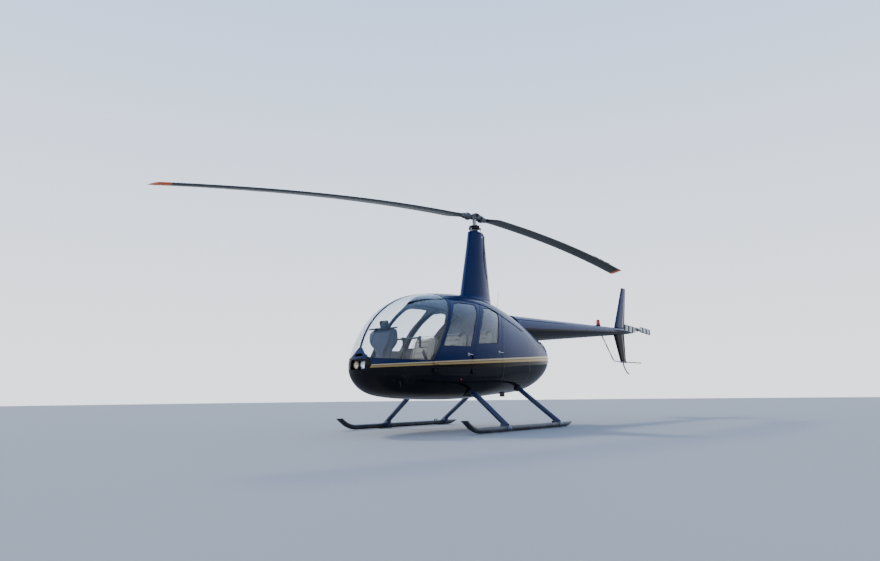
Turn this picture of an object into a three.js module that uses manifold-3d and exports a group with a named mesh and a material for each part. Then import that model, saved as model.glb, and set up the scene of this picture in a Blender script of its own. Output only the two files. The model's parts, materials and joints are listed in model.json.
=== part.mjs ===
// A light four-seat helicopter with a two-blade rotor, parked on its skids with the blades drooping.
// Millimetres. +X is the nose, +Y the left side and +Z up, with the ground at z = 0.
// Places are measured from the mast axis. The airframe group moves them along X, so that the
// origin lies on the ground under the middle of the whole aircraft, rotor blades included.
import * as THREE from "three";
import { mergeVertices } from "three/addons/utils/BufferGeometryUtils.js";
import Module from "manifold-3d";

const wasm = await Module();
wasm.setup();

// Driving dimensions.
const ROTOR_RADIUS = 5030;
const ROTOR_CHORD = 254;
const ROTOR_PARKED = -0.7; // degrees from straight ahead to the forward blade
const HUB_HEIGHT = 3180;
const TAIL_ROTOR_ARM = 5890; // mast axis to tail rotor axis
const TAIL_ROTOR_RADIUS = 735;
const TAIL_ROTOR_CHORD = 130;
const TREAD_HALF = 1061; // centre line to skid tube
const CABIN_WALL = 22;
const DOOR_THICKNESS = 22;
const COWL_WALL = 8;
const GLASS = 5;
const SEAM = 0.4; // air left between pieces that touch
const DOOR_GAP = 6; // air round a door
const MAST_X = 799; // places the origin under the middle of the whole length

// Small tools for angles and solids.
const radians = (degrees) => (degrees * Math.PI) / 180;

// A closed geometry as a solid that can be joined and cut.
function solidOf(geometry) {
  const bare = new THREE.BufferGeometry();
  bare.setAttribute("position", geometry.getAttribute("position"));
  bare.setIndex(geometry.getIndex());
  const merged = mergeVertices(bare, 1e-3);
  const corners = merged.getIndex().array;
  const kept = [];
  for (let i = 0; i < corners.length; i += 3) {
    const [a, b, c] = corners.slice(i, i + 3);
    if (a !== b && b !== c && c !== a) kept.push(a, b, c);
  }
  const vertProperties = merged.getAttribute("position").array;
  const triVerts = new Uint32Array(kept);
  return new wasm.Manifold(new wasm.Mesh({ numProp: 3, vertProperties, triVerts }));
}

// A solid as a geometry for a mesh.
function geometryOf(solid) {
  const mesh = solid.getMesh();
  const geometry = new THREE.BufferGeometry();
  geometry.setAttribute("position", new THREE.BufferAttribute(mesh.vertProperties, 3));
  geometry.setIndex(new THREE.BufferAttribute(mesh.triVerts, 1));
  const faceted = geometry.toNonIndexed();
  faceted.computeVertexNormals();
  return faceted;
}

const joined = (...solids) => solids.reduce((whole, next) => whole.add(next));

// A box between two corners.
function block(from, to) {
  const size = to.map((value, axis) => value - from[axis]);
  const geometry = new THREE.BoxGeometry(...size);
  geometry.translate(...from.map((value, axis) => value + size[axis] / 2));
  return solidOf(geometry);
}

// A round bar from one point to another.
function bar(from, to, radius, sides = 12, endRadius = radius) {
  const start = new THREE.Vector3(...from);
  const end = new THREE.Vector3(...to);
  const along = end.clone().sub(start);
  const geometry = new THREE.CylinderGeometry(endRadius, radius, along.length(), sides);
  const turn = new THREE.Quaternion();
  turn.setFromUnitVectors(new THREE.Vector3(0, 1, 0), along.clone().normalize());
  geometry.applyQuaternion(turn);
  geometry.translate(...start.add(end).multiplyScalar(0.5));
  return solidOf(geometry);
}

// A closed skin over rings of points. A ring of one point is a pole; the end rings are capped.
function loft(rings) {
  const positions = rings.flat(2);
  const starts = [];
  let count = 0;
  for (const ring of rings) {
    starts.push(count);
    count += ring.length;
  }
  const index = [];
  for (let r = 0; r + 1 < rings.length; r += 1) {
    const sides = Math.max(rings[r].length, rings[r + 1].length);
    const near = (k) => starts[r] + (k % sides) % rings[r].length;
    const far = (k) => starts[r + 1] + (k % sides) % rings[r + 1].length;
    for (let k = 0; k < sides; k += 1) {
      index.push(near(k), far(k), near(k + 1));
      index.push(near(k + 1), far(k), far(k + 1));
    }
  }
  const last = rings.length - 1;
  for (let k = 1; k + 1 < rings[0].length; k += 1) {
    index.push(starts[0], starts[0] + k, starts[0] + k + 1);
  }
  for (let k = 1; k + 1 < rings[last].length; k += 1) {
    index.push(starts[last], starts[last] + k + 1, starts[last] + k);
  }
  const geometry = new THREE.BufferGeometry();
  geometry.setAttribute("position", new THREE.Float32BufferAttribute(positions, 3));
  geometry.setIndex(signedVolume(positions, index) < 0 ? index.reverse() : index);
  return solidOf(geometry);
}

function signedVolume(positions, index) {
  const corner = (i) => new THREE.Vector3(...positions.slice(3 * index[i], 3 * index[i] + 3));
  let sum = 0;
  for (let i = 0; i < index.length; i += 3) {
    sum += corner(i).dot(corner(i + 1).cross(corner(i + 2)));
  }
  return sum / 6;
}

// An outline from corners [u, v, radius]: a corner with a radius is rounded off.
function outline(corners) {
  const shape = new THREE.Shape();
  const at = (i) => new THREE.Vector2(...corners[(i + corners.length) % corners.length]);
  corners.forEach(([u, v, radius = 0], i) => {
    const start = at(i - 1).sub(at(i)).setLength(radius).add(at(i));
    const end = at(i + 1).sub(at(i)).setLength(radius).add(at(i));
    if (i === 0) shape.moveTo(start.x, start.y);
    else shape.lineTo(start.x, start.y);
    if (radius) shape.quadraticCurveTo(u, v, end.x, end.y);
  });
  return shape;
}

// The same corners moved outwards by a distance, or inwards if it is negative.
function grown(corners, distance) {
  const flat = corners.map(([u, v]) => new THREE.Vector2(u, v));
  const outward = distance * Math.sign(THREE.ShapeUtils.area(flat));
  return corners.map(([u, v, radius = 0], i) => {
    const before = flat[(i + flat.length - 1) % flat.length];
    const after = flat[(i + 1) % flat.length];
    const into = flat[i].clone().sub(before).normalize();
    const out = after.clone().sub(flat[i]).normalize();
    const reach = outward / (1 + into.dot(out));
    const grownRadius = radius ? Math.max(radius + distance, 1) : 0;
    return [u + reach * (into.y + out.y), v - reach * (into.x + out.x), grownRadius];
  });
}

// A prism across the aircraft from an outline of [x, z] corners.
function acrossPrism(corners, fromY, toY) {
  const depth = toY - fromY;
  const geometry = new THREE.ExtrudeGeometry(outline(corners), {
    depth,
    bevelEnabled: false,
    curveSegments: 2,
  });
  geometry.translate(0, 0, -toY);
  geometry.rotateX(Math.PI / 2);
  return solidOf(geometry);
}

// A prism along the aircraft from an outline of [y, z] corners.
function alongPrism(corners, fromX, toX) {
  const geometry = new THREE.ExtrudeGeometry(outline(corners), {
    depth: toX - fromX,
    bevelEnabled: false,
    curveSegments: 3,
  });
  geometry.translate(0, 0, fromX);
  const across = new THREE.Vector3(0, 1, 0);
  const up = new THREE.Vector3(0, 0, 1);
  const ahead = new THREE.Vector3(1, 0, 0);
  geometry.applyMatrix4(new THREE.Matrix4().makeBasis(across, up, ahead));
  return solidOf(geometry);
}

// A round tube, solid through, along a path of [x, y, z] points with rounded bends.
function tube(points, radius, bend, sides = 12, steps = 3) {
  const corners = points.map((point) => new THREE.Vector3(...point));
  const centres = [corners[0]];
  for (let i = 1; i + 1 < corners.length; i += 1) {
    const before = corners[i - 1].clone().sub(corners[i]).setLength(bend).add(corners[i]);
    const after = corners[i + 1].clone().sub(corners[i]).setLength(bend).add(corners[i]);
    const curve = new THREE.QuadraticBezierCurve3(before, corners[i], after);
    centres.push(...curve.getPoints(steps));
  }
  centres.push(corners.at(-1));
  const side = new THREE.Vector3();
  const rings = centres.map((centre, i) => {
    const ahead = (centres[i + 1] || centre).clone();
    ahead.sub(centres[i - 1] || centre).normalize();
    if (i === 0) side.crossVectors(ahead, planeNormal(corners)).normalize();
    side.addScaledVector(ahead, -side.dot(ahead)).normalize();
    const other = new THREE.Vector3().crossVectors(ahead, side);
    return circleRing(centre, side, other, radius, sides);
  });
  return loft(rings);
}

function planeNormal(corners) {
  const first = corners[1].clone().sub(corners[0]);
  const second = corners.at(-1).clone().sub(corners[1]);
  const normal = first.clone().cross(second);
  return normal.length() > 1 ? normal.normalize() : new THREE.Vector3(0, 1, 0);
}

function circleRing(centre, side, other, radius, sides) {
  return Array.from({ length: sides }, (_, k) => {
    const angle = (2 * Math.PI * (k + 0.5)) / sides;
    const point = centre.clone();
    point.addScaledVector(side, radius * Math.cos(angle));
    point.addScaledVector(other, radius * Math.sin(angle));
    return point.toArray();
  });
}

// The fuselage's sections, nose to tail.
const BODY_COLUMNS = ["x", "low", "high", "half", "wide", "upper", "lower"];
const BODY_ROWS = [
  // x, lowest z, highest z, half width, z of the widest line, powers of the upper and lower halves
  [2494, 790, 790, 0, 790, 2.0, 2.0],
  [2455, 695, 890, 130, 798, 2.0, 2.0],
  [2385, 590, 1110, 235, 810, 2.0, 2.05],
  [2210, 490, 1385, 350, 820, 2.0, 2.2],
  [1900, 440, 1625, 510, 840, 2.1, 2.4],
  [1480, 417, 1785, 615, 860, 2.25, 2.6],
  [900, 408, 1870, 642, 890, 2.4, 2.7],
  [300, 430, 1893, 632, 920, 2.3, 2.7],
  [-250, 468, 1835, 595, 950, 2.0, 2.5],
  [-800, 505, 1680, 538, 980, 1.85, 2.35],
  [-1200, 590, 1530, 465, 1000, 1.8, 2.2],
  [-1480, 720, 1400, 375, 1030, 2.0, 2.1],
  [-1680, 890, 1250, 225, 1045, 2.0, 2.0],
  [-1755, 1050, 1050, 0, 1050, 2.0, 2.0],
];
const BODY_SIDES = 24;

// A smooth curve through the rows, read at any row number.
function bodySection(row) {
  const last = BODY_ROWS.length - 1;
  const whole = Math.min(Math.floor(row), last - 1);
  const part = row - whole;
  const rowAt = (i, column) => {
    if (i < 0) return 2 * BODY_ROWS[0][column] - BODY_ROWS[1][column];
    if (i > last) return 2 * BODY_ROWS[last][column] - BODY_ROWS[last - 1][column];
    return BODY_ROWS[i][column];
  };
  const section = {};
  BODY_COLUMNS.forEach((name, column) => {
    const [a, b, c, d] = [-1, 0, 1, 2].map((step) => rowAt(whole + step, column));
    const square = 2 * a - 5 * b + 4 * c - d;
    const cube = 3 * b - a - 3 * c + d;
    section[name] = 0.5 * (2 * b + (c - a) * part + square * part ** 2 + cube * part ** 3);
  });
  return section;
}

// A point of the fuselage's outer surface: angle 0 is the left side and 90 degrees the top.
function bodyPoint(row, angle) {
  const { x, low, high, half, wide, upper, lower } = bodySection(row);
  const across = Math.cos(angle);
  const rise = Math.sin(angle);
  const power = 2 / (rise >= 0 ? upper : lower);
  const reach = rise >= 0 ? high - wide : wide - low;
  const y = half * Math.sign(across) * Math.abs(across) ** power;
  const z = wide + reach * Math.sign(rise) * Math.abs(rise) ** power;
  return new THREE.Vector3(x, y, z);
}

// The same surface moved inwards by a depth, along its own normal.
function insetBodyPoint(row, angle, depth) {
  const last = BODY_ROWS.length - 1;
  const point = bodyPoint(row, angle);
  if (row === 0 || row === last) return point.setX(point.x - depth * Math.sign(point.x));
  const step = 0.02;
  const along = bodyPoint(Math.min(row + step, last), angle).sub(bodyPoint(row - step, angle));
  const around = bodyPoint(row, angle + step).sub(bodyPoint(row, angle - step));
  const normal = along.cross(around).normalize();
  return point.addScaledVector(normal, -depth);
}

// The fuselage as one solid, its surface moved inwards by a depth.
function body(depth) {
  const rings = [];
  const last = BODY_ROWS.length - 1;
  for (let row = 0; row <= last; row += 0.5) {
    const sides = row === 0 || row === last ? 1 : BODY_SIDES;
    const ring = [];
    for (let k = 0; k < sides; k += 1) {
      ring.push(insetBodyPoint(row, (2 * Math.PI * k) / BODY_SIDES, depth).toArray());
    }
    rings.push(ring);
  }
  return loft(rings);
}

const bodyShell = (outside, inside) => body(outside).subtract(body(inside));

// Half of the fuselage's width at a place on its side.
function halfWidthAt(x, z) {
  let near = 0;
  let far = BODY_ROWS.length - 1;
  for (let i = 0; i < 40; i += 1) {
    const middle = (near + far) / 2;
    if (bodySection(middle).x > x) near = middle;
    else far = middle;
  }
  const { low, high, half, wide, upper, lower } = bodySection(near);
  const share = z > wide ? (z - wide) / (high - wide) : (wide - z) / (wide - low);
  const power = z > wide ? upper : lower;
  return half * (1 - share ** power) ** (1 / power);
}

// Outlines on the fuselage's side, as [x, z, radius] corners.
const WINDSCREEN_SIDE = [
  [2600, 800], [1740, 800], [1722, 892], [1639, 1018], [1566, 1145], [1471, 1281],
  [1385, 1416], [1293, 1558], [1212, 1665, 30], [1205, 1760], [1205, 2000], [2600, 2000],
];
// The windscreen's sill and the edge beside the centre bow, as [y, z] corners seen from the front.
const WINDSCREEN_FRONT = [
  [10, 1046], [81, 970], [142, 915], [262, 899], [393, 896], [510, 889], [720, 889],
  [720, 2000], [10, 2000],
];
const FRONT_DOOR = [
  [1690, 700, 60], [1692, 800], [1687, 892], [1604, 1018], [1531, 1145], [1436, 1281],
  [1350, 1416], [1258, 1558], [1163, 1690], [1122, 1738, 25], [800, 1762], [462, 1757, 20],
  [542, 1680], [677, 1545], [812, 1360], [907, 1186], [987, 1019], [1025, 914], [1032, 840],
  [1032, 700, 40],
];
const REAR_DOOR = [
  [988, 700, 40], [988, 840], [981, 914], [943, 1019], [863, 1186], [768, 1360], [633, 1545],
  [498, 1680], [420, 1755, 20], [150, 1724], [-66, 1670, 25], [132, 1451], [241, 1222],
  [278, 971], [280, 840], [270, 700, 80],
];
const FRONT_WINDOW = [
  [1545, 1075, 25], [1471, 1208], [1349, 1382], [1217, 1556], [1110, 1668, 25], [1000, 1698, 20],
  [825, 1706], [640, 1706, 25], [687, 1587], [845, 1393], [942, 1221], [1018, 1090, 25],
];
const REAR_WINDOW = [
  [842, 1138, 20], [767, 1298], [608, 1514], [462, 1666, 25], [297, 1694], [150, 1672],
  [66, 1640, 20], [114, 1588], [278, 1368], [352, 1172, 25],
];
// Panel joints: the roof's lower edge, and the edges of the engine's side cowls.
const ROOF_EDGE = [
  [1190, 1746], [800, 1768], [450, 1763], [150, 1731], [-81, 1680], [-330, 1493], [-450, 1443],
];
const ENGINE_FRONT_EDGE = [
  [-117, 1653], [96, 1451], [205, 1222], [242, 971], [244, 840], [244, 640],
];
const COWL_REAR_EDGE = [
  [-592, 640], [-602, 949], [-592, 1021], [-663, 1207], [-732, 1342],
];
const BELOW = 200;
const ABOVE = 2200;
const BELLY_EDGE = 640;
const WIDE = 900;
const CENTRE_CLEAR = 60;

const outerBody = body(0);
const cabinWall = bodyShell(0, CABIN_WALL);
const cowlWall = bodyShell(0, COWL_WALL);
const seamed = (corners) => grown(corners, -SEAM / 2);

// The region in front of the engine bay and under the roof.
const cabinSide = [
  [2600, BELOW], [2600, ABOVE], [1190, ABOVE], ...ROOF_EDGE.slice(0, 5), ...ENGINE_FRONT_EDGE,
  [244, BELOW],
];
const roofSide = [...ROOF_EDGE, [-450, ABOVE], [1190, ABOVE]];
const sideCowlSide = [
  ...[...ENGINE_FRONT_EDGE].reverse(), [-330, 1493], [-450, 1443], ...[...COWL_REAR_EDGE].reverse(),
];
const rearCowlSide = [
  ...COWL_REAR_EDGE, [-450, 1443], [-450, ABOVE], [-2000, ABOVE], [-2000, BELOW], [-592, BELOW],
];
const engineBellySide = [[244, BELLY_EDGE], [244, BELOW], [-592, BELOW], [-592, BELLY_EDGE]];

// Materials, by finish.
const finish = (color, roughness, metalness = 0, opacity = 1) =>
  new THREE.MeshStandardMaterial({
    color,
    roughness,
    metalness,
    opacity,
    transparent: opacity < 1,
  });
const FINISHES = {
  blue: finish(0x12224f, 0.25, 0.35),
  gearBlue: finish(0x10182f, 0.35, 0.3),
  glass: finish(0x9fb3c4, 0.05, 0, 0.3),
  rubber: finish(0x15171b, 0.8),
  trim: finish(0x1a1c20, 0.6),
  leather: finish(0xb9ad9c, 0.55),
  steel: finish(0x8b8f93, 0.4, 0.9),
  blade: finish(0x2c2f30, 0.5, 0.1),
  tailBlade: finish(0xd8d8d4, 0.4),
  beacon: finish(0xb01218, 0.2),
  lamp: finish(0xdfe3e6, 0.2, 0.5),
  engine: finish(0x4a4c50, 0.6, 0.6),
  lining: finish(0x2a2d36, 0.9),
  guard: finish(0xd9d6d0, 0.4),
};

const helicopter = new THREE.Group();
const airframe = new THREE.Group();
airframe.position.x = MAST_X;
helicopter.add(airframe);
const rightSide = new THREE.Group();
rightSide.scale.y = -1;
airframe.add(rightSide);

function place(name, solid, material, group = airframe) {
  const mesh = new THREE.Mesh(geometryOf(solid), material);
  mesh.name = name;
  group.add(mesh);
}

// The same left-hand solid on both sides of the aircraft.
function placePair(name, solid, material) {
  place(name + "_left", solid, material);
  place(name + "_right", solid, material, rightSide);
}

// Landing gear: skid tubes with upturned toes and flat wear shoes, and two arched cross tubes.
const SKID_RADIUS = 35;
const SHOE_THICKNESS = 6;
const SKID_HEIGHT = SKID_RADIUS + SHOE_THICKNESS;
const SKID_PATH = [
  [-890, TREAD_HALF, SKID_HEIGHT], [1583, TREAD_HALF, SKID_HEIGHT], [1857, TREAD_HALF, 238],
];
const SKID_BEND = 150;
const TOE_TOP = 168; // the toe is cut level at this height
const HEEL_CUT = [[-1000, -10], [-620, -10], [-905, 90], [-1000, 90]]; // the heel on a slant
const CROSS_TUBE_RADIUS = 38;
const STRUT_FOOT = 70; // height of a leg's centre line over the skid's centre line
const CROSS_TUBES = [
  // name, x, height of the middle span, rise of a leg for each unit inwards
  ["front", 853, 500, 0.82],
  ["rear", -500, 600, 0.736],
];
const SHOE_LENGTH = 260;
const SHOE_WIDTH = 40;

function skidTube(extra) {
  return tube(SKID_PATH, SKID_RADIUS + extra, SKID_BEND, 12, 4);
}

function skid() {
  const shoes = CROSS_TUBES.map(([, x]) =>
    block(
      [x - SHOE_LENGTH / 2, TREAD_HALF - SHOE_WIDTH / 2, 0],
      [x + SHOE_LENGTH / 2, TREAD_HALF + SHOE_WIDTH / 2, SHOE_THICKNESS + 4],
    ),
  );
  const aboveToe = block([1500, 900, TOE_TOP], [2000, 1200, 400]);
  const behindHeel = acrossPrism(HEEL_CUT, 900, 1200);
  return joined(skidTube(0).subtract(aboveToe).subtract(behindHeel), ...shoes);
}

function crossTube(x, middle, slope, extra) {
  const insideY = TREAD_HALF - (middle - STRUT_FOOT) / slope;
  const path = [
    [x, TREAD_HALF, STRUT_FOOT],
    [x, insideY, middle],
    [x, -insideY, middle],
    [x, -TREAD_HALF, STRUT_FOOT],
  ];
  return tube(path, CROSS_TUBE_RADIUS + extra, 110, 12, 4);
}

placePair("skid", skid(), FINISHES.gearBlue);
const skidRoom = skidTube(SEAM);
const mirroredSkidRoom = tube(
  SKID_PATH.map(([x, y, z]) => [x, -y, z]),
  SKID_RADIUS + SEAM,
  SKID_BEND,
  12,
  4,
);
const belowSkids = block([-1000, -1300, -100], [1900, 1300, SKID_HEIGHT]);
for (const [name, x, middle, slope] of CROSS_TUBES) {
  const whole = crossTube(x, middle, slope, 0);
  const seated = whole.subtract(skidRoom).subtract(mirroredSkidRoom).subtract(belowSkids);
  place("cross_tube_" + name, seated, FINISHES.gearBlue);
}
const crossTubeRoom = joined(
  ...CROSS_TUBES.map(([, x, middle, slope]) => crossTube(x, middle, slope, SEAM)),
);

// Door hinges: a pin on the door turns in a sleeve on the post.
const HINGE_PIN = 7;
const HINGE_SLEEVE = 12;
const HINGE_PLAY = 0.6;
const HINGE_LENGTH = 36;
const HINGE_SIDES = 8;
const HINGE_STANDOFF = 13; // from the door's skin to the pin's centre
const HINGE_FOOT = 40; // how far an arm reaches behind the door's edge
const HINGES = {
  // x and z of the pin's centre, and x of the door's edge beside it; how far a bracket reaches ahead
  front: { low: [1714, 765, 1691], high: [1705, 862, 1689], reach: 26 },
  rear: { low: [1009, 760, 988], high: [989, 960, 966], reach: 8 },
};

// The pin's centre stands off the skin that its arms cross.
function hingePoint([x, z, edge]) {
  return new THREE.Vector3(x, halfWidthAt(edge, z) + HINGE_STANDOFF, z);
}

// The sleeves' brackets, the pins with their arms, and the bores, for one door.
function hingeSolids(hinge) {
  const low = hingePoint(hinge.low);
  const high = hingePoint(hinge.high);
  const up = high.clone().sub(low).normalize();
  const at = (centre, height) => centre.clone().addScaledVector(up, height).toArray();
  const half = HINGE_LENGTH / 2;
  const armHeight = 9;
  const brackets = [];
  const arms = [];
  const bores = [];
  for (const [centre, [, , edge]] of [[low, hinge.low], [high, hinge.high]]) {
    brackets.push(bar(at(centre, -half), at(centre, half), HINGE_SLEEVE, HINGE_SIDES));
    brackets.push(
      block(
        [centre.x - 6, centre.y - 34, centre.z - half + 1],
        [centre.x + hinge.reach, centre.y + 2, centre.z + half - 1],
      ),
    );
    const pinEnd = half + armHeight + 1;
    arms.push(bar(at(centre, -pinEnd), at(centre, pinEnd), HINGE_PIN, HINGE_SIDES));
    for (const side of [-1, 1]) {
      const z = centre.z + side * (half + 2 + armHeight / 2);
      arms.push(
        block(
          [edge - HINGE_FOOT, centre.y - 8, z - armHeight / 2],
          [centre.x + 5, centre.y + 7, z + armHeight / 2],
        ),
        block(
          [edge - HINGE_FOOT, centre.y - HINGE_STANDOFF - 12, z - armHeight / 2],
          [edge - 9, centre.y + 7, z + armHeight / 2],
        ),
      );
    }
    const bore = HINGE_PIN + HINGE_PLAY;
    bores.push(bar(at(centre, -half - 20), at(centre, half + 20), bore, HINGE_SIDES));
  }
  return { brackets: joined(...brackets), arms: joined(...arms), bores: joined(...bores) };
}

const hinges = { front: hingeSolids(HINGES.front), rear: hingeSolids(HINGES.rear) };

// Doors and their windows, built on the left side.
const DOORS = {
  front: { frame: FRONT_DOOR, window: FRONT_WINDOW },
  rear: { frame: REAR_DOOR, window: REAR_WINDOW },
};
const doorSkin = bodyShell(0, DOOR_THICKNESS);
const windowPane = bodyShell(2, 2 + GLASS);
for (const [name, { frame, window }] of Object.entries(DOORS)) {
  const panel = doorSkin.intersect(acrossPrism(frame, CENTRE_CLEAR, WIDE));
  const opening = acrossPrism(window, CENTRE_CLEAR, WIDE);
  placePair("door_" + name, panel.subtract(opening).add(hinges[name].arms), FINISHES.blue);
  const pane = windowPane.intersect(acrossPrism(grown(window, -SEAM), CENTRE_CLEAR, WIDE));
  placePair("door_window_" + name, pane, FINISHES.glass);
}

// Windscreen halves, on either side of the centre bow.
function windscreenRegion(inset) {
  const side = acrossPrism(grown(WINDSCREEN_SIDE, -inset), 0, WIDE);
  const front = alongPrism(grown(WINDSCREEN_FRONT, -inset), 1000, 2700);
  return side.intersect(front);
}
const windscreenPane = bodyShell(1, 1 + GLASS);
placePair("windscreen", windscreenPane.intersect(windscreenRegion(SEAM)), FINISHES.glass);

// The landing lights: two lamps side by side in a dark box let into the nose.
const LIGHT_BOX_HALF = 124;
const LIGHT_BOX_LOW = 768;
const LIGHT_BOX_HIGH = 896;
const LAMP_RADIUS = 54;
const LAMP_SPACING = 118;
const LIGHT_BOX_BACK = 2350;
const LIGHT_BOX_FLOOR = 2395;
const LIGHT_BOX_RIM = 2432;
const rimCorners = (inset) => [
  [-LIGHT_BOX_HALF + inset, LIGHT_BOX_LOW + inset, 30],
  [LIGHT_BOX_HALF - inset, LIGHT_BOX_LOW + inset, 30],
  [LIGHT_BOX_HALF - inset, LIGHT_BOX_HIGH - inset, 30],
  [-LIGHT_BOX_HALF + inset, LIGHT_BOX_HIGH - inset, 30],
];
const lightRecess = alongPrism(rimCorners(0), 2300, 2600);
const lightBox = alongPrism(rimCorners(SEAM), LIGHT_BOX_BACK, LIGHT_BOX_RIM)
  .subtract(alongPrism(rimCorners(8), LIGHT_BOX_FLOOR, 2600))
  .intersect(body(4));
const lampHeight = (LIGHT_BOX_LOW + LIGHT_BOX_HIGH) / 2;
const lamps = [-1, 1].map((side) => {
  const y = (side * LAMP_SPACING) / 2;
  return bar(
    [LIGHT_BOX_FLOOR - 5, y, lampHeight],
    [LIGHT_BOX_RIM - 8, y, lampHeight],
    LAMP_RADIUS,
    20,
  );
});
place("landing_lights", joined(lightBox, ...lamps), FINISHES.lamp);

// The cabin shell: nose, belly, sills, posts and the bow between the windscreen halves.
function mirrored(solid) {
  const geometry = geometryOf(solid);
  geometry.scale(1, -1, 1);
  const index = Array.from({ length: geometry.getAttribute("position").count }, (_, i) => i);
  geometry.setIndex(index.reverse());
  return solidOf(geometry);
}

const openingsLeft = joined(
  acrossPrism(grown(FRONT_DOOR, DOOR_GAP), CENTRE_CLEAR, WIDE),
  acrossPrism(grown(REAR_DOOR, DOOR_GAP), CENTRE_CLEAR, WIDE),
  windscreenRegion(0),
);
const bracketsLeft = joined(hinges.front.brackets, hinges.rear.brackets);
const boresLeft = joined(hinges.front.bores, hinges.rear.bores);
const cabinShell = cabinWall
  .intersect(acrossPrism(seamed(cabinSide), -WIDE, WIDE))
  .subtract(openingsLeft)
  .subtract(mirrored(openingsLeft))
  .add(bracketsLeft)
  .add(mirrored(bracketsLeft))
  .subtract(boresLeft)
  .subtract(mirrored(boresLeft))
  .subtract(lightRecess)
  .subtract(crossTubeRoom);
place("cabin_shell", cabinShell, FINISHES.blue);

// Roof panel and engine cowls.
place("roof_panel", cabinWall.intersect(acrossPrism(seamed(roofSide), -WIDE, WIDE)), FINISHES.blue);
const sideCowl = cowlWall.intersect(acrossPrism(seamed(sideCowlSide), CENTRE_CLEAR, WIDE));
placePair("engine_cowl", sideCowl, FINISHES.blue);

// The tail boom: a cone along a line that rises gently aft.
const BOOM_START = -880;
const BOOM_END = -5745;
const BOOM_SIDES = 24;
const BOOM_WALL = 6;
const boomHeight = (x) => 1527 - 0.0624 * (x + 1200);
const boomRadius = (x) => 212 + 0.0333 * (x + 1200);

function boom(extra, from = BOOM_START, to = BOOM_END) {
  const rings = [from, to].map((x) => {
    const centre = new THREE.Vector3(x, 0, boomHeight(x));
    const side = new THREE.Vector3(0, 1, 0);
    const up = new THREE.Vector3(0, 0, 1);
    return circleRing(centre, side, up, boomRadius(x) + extra, BOOM_SIDES);
  });
  return loft(rings);
}
const boomHollow = boom(-BOOM_WALL, BOOM_START + 10, BOOM_END + 2 * BOOM_WALL);
place("tail_boom", boom(0).subtract(boomHollow), FINISHES.blue);
const boomRoom = boom(SEAM);

const EXHAUST = { x: -400, y: 170, radius: 38, low: 436 };
const exhaustRoom = bar(
  [EXHAUST.x, EXHAUST.y, BELOW],
  [EXHAUST.x, EXHAUST.y, BELLY_EDGE],
  EXHAUST.radius + 6,
  16,
);
const rearCowl = cowlWall
  .intersect(acrossPrism(seamed(rearCowlSide), -WIDE, WIDE))
  .subtract(boomRoom);
place("rear_cowl", rearCowl, FINISHES.blue);
const engineBelly = cowlWall
  .intersect(acrossPrism(seamed(engineBellySide), -WIDE, WIDE))
  .subtract(crossTubeRoom)
  .subtract(exhaustRoom);
place("engine_belly", engineBelly, FINISHES.blue);

// Firewall and floor, fitted inside the cabin's wall.
const insideCabin = body(CABIN_WALL + SEAM);
const FIREWALL_THICKNESS = 20;
const FIREWALL_FRONT = [
  [-120, 1800], [-96, 1700], [126, 1451], [235, 1222], [270, 971], [270, 440],
];
const firewallSide = [
  ...FIREWALL_FRONT, ...[...FIREWALL_FRONT].reverse().map(([x, z]) => [x - FIREWALL_THICKNESS, z]),
];
const firewall = insideCabin.intersect(acrossPrism(firewallSide, -WIDE, WIDE));
place("firewall", firewall, FINISHES.lining);
const FLOOR_TOP = 560;
const FLOOR_THICKNESS = 12;
const floor = insideCabin.intersect(
  block([270 + SEAM, -WIDE, FLOOR_TOP - FLOOR_THICKNESS], [2200, WIDE, FLOOR_TOP]),
);
place("floor", floor, FINISHES.lining);

// Engine: one plain block at its real place and size, carried on the firewall's rear face.
const ENGINE_BACK = -700;
const ENGINE_FRONT = 270 - FIREWALL_THICKNESS - SEAM;
const ENGINE_LOW = 680;
const ENGINE_HIGH = 960;
const ENGINE_HALF = 330;
place(
  "engine",
  block([ENGINE_BACK, -ENGINE_HALF, ENGINE_LOW], [ENGINE_FRONT, ENGINE_HALF, ENGINE_HIGH]),
  FINISHES.engine,
);
place(
  "exhaust",
  bar(
    [EXHAUST.x, EXHAUST.y, EXHAUST.low],
    [EXHAUST.x, EXHAUST.y, ENGINE_LOW - SEAM],
    EXHAUST.radius,
    16,
  ),
  FINISHES.steel,
);

// Seats on their boxes, an L of cushion and back for each place.
const SEAT_ROWS = [
  // name, box back, box front, box top, foot of the back, top of the back
  { name: "front", back: 960, front: 1470, top: 760, lean: 130, height: 1285, thickness: 95 },
  { name: "rear", back: 345, front: 855, top: 780, lean: 145, height: 1360, thickness: 95 },
];
const SEAT_INNER = 45;
const SEAT_OUTER = 490;
const CUSHION = 95;
for (const { name, back, front, top, lean, height, thickness } of SEAT_ROWS) {
  place(
    "seat_box_" + name,
    insideCabin.intersect(
      block([back, -SEAT_OUTER, FLOOR_TOP + SEAM], [front, SEAT_OUTER, top]),
    ),
    FINISHES.lining,
  );
  const foot = top + SEAM;
  const side = [
    [front + 15, foot, 10], [front + 15, foot + CUSHION, 30], [back + thickness, foot + CUSHION],
    [back + thickness - lean, height, 30], [back - lean, height, 30], [back, foot + CUSHION],
    [back, foot, 10],
  ];
  placePair("seat_" + name, acrossPrism(side, SEAT_INNER, SEAT_OUTER), FINISHES.leather);
}

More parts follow.
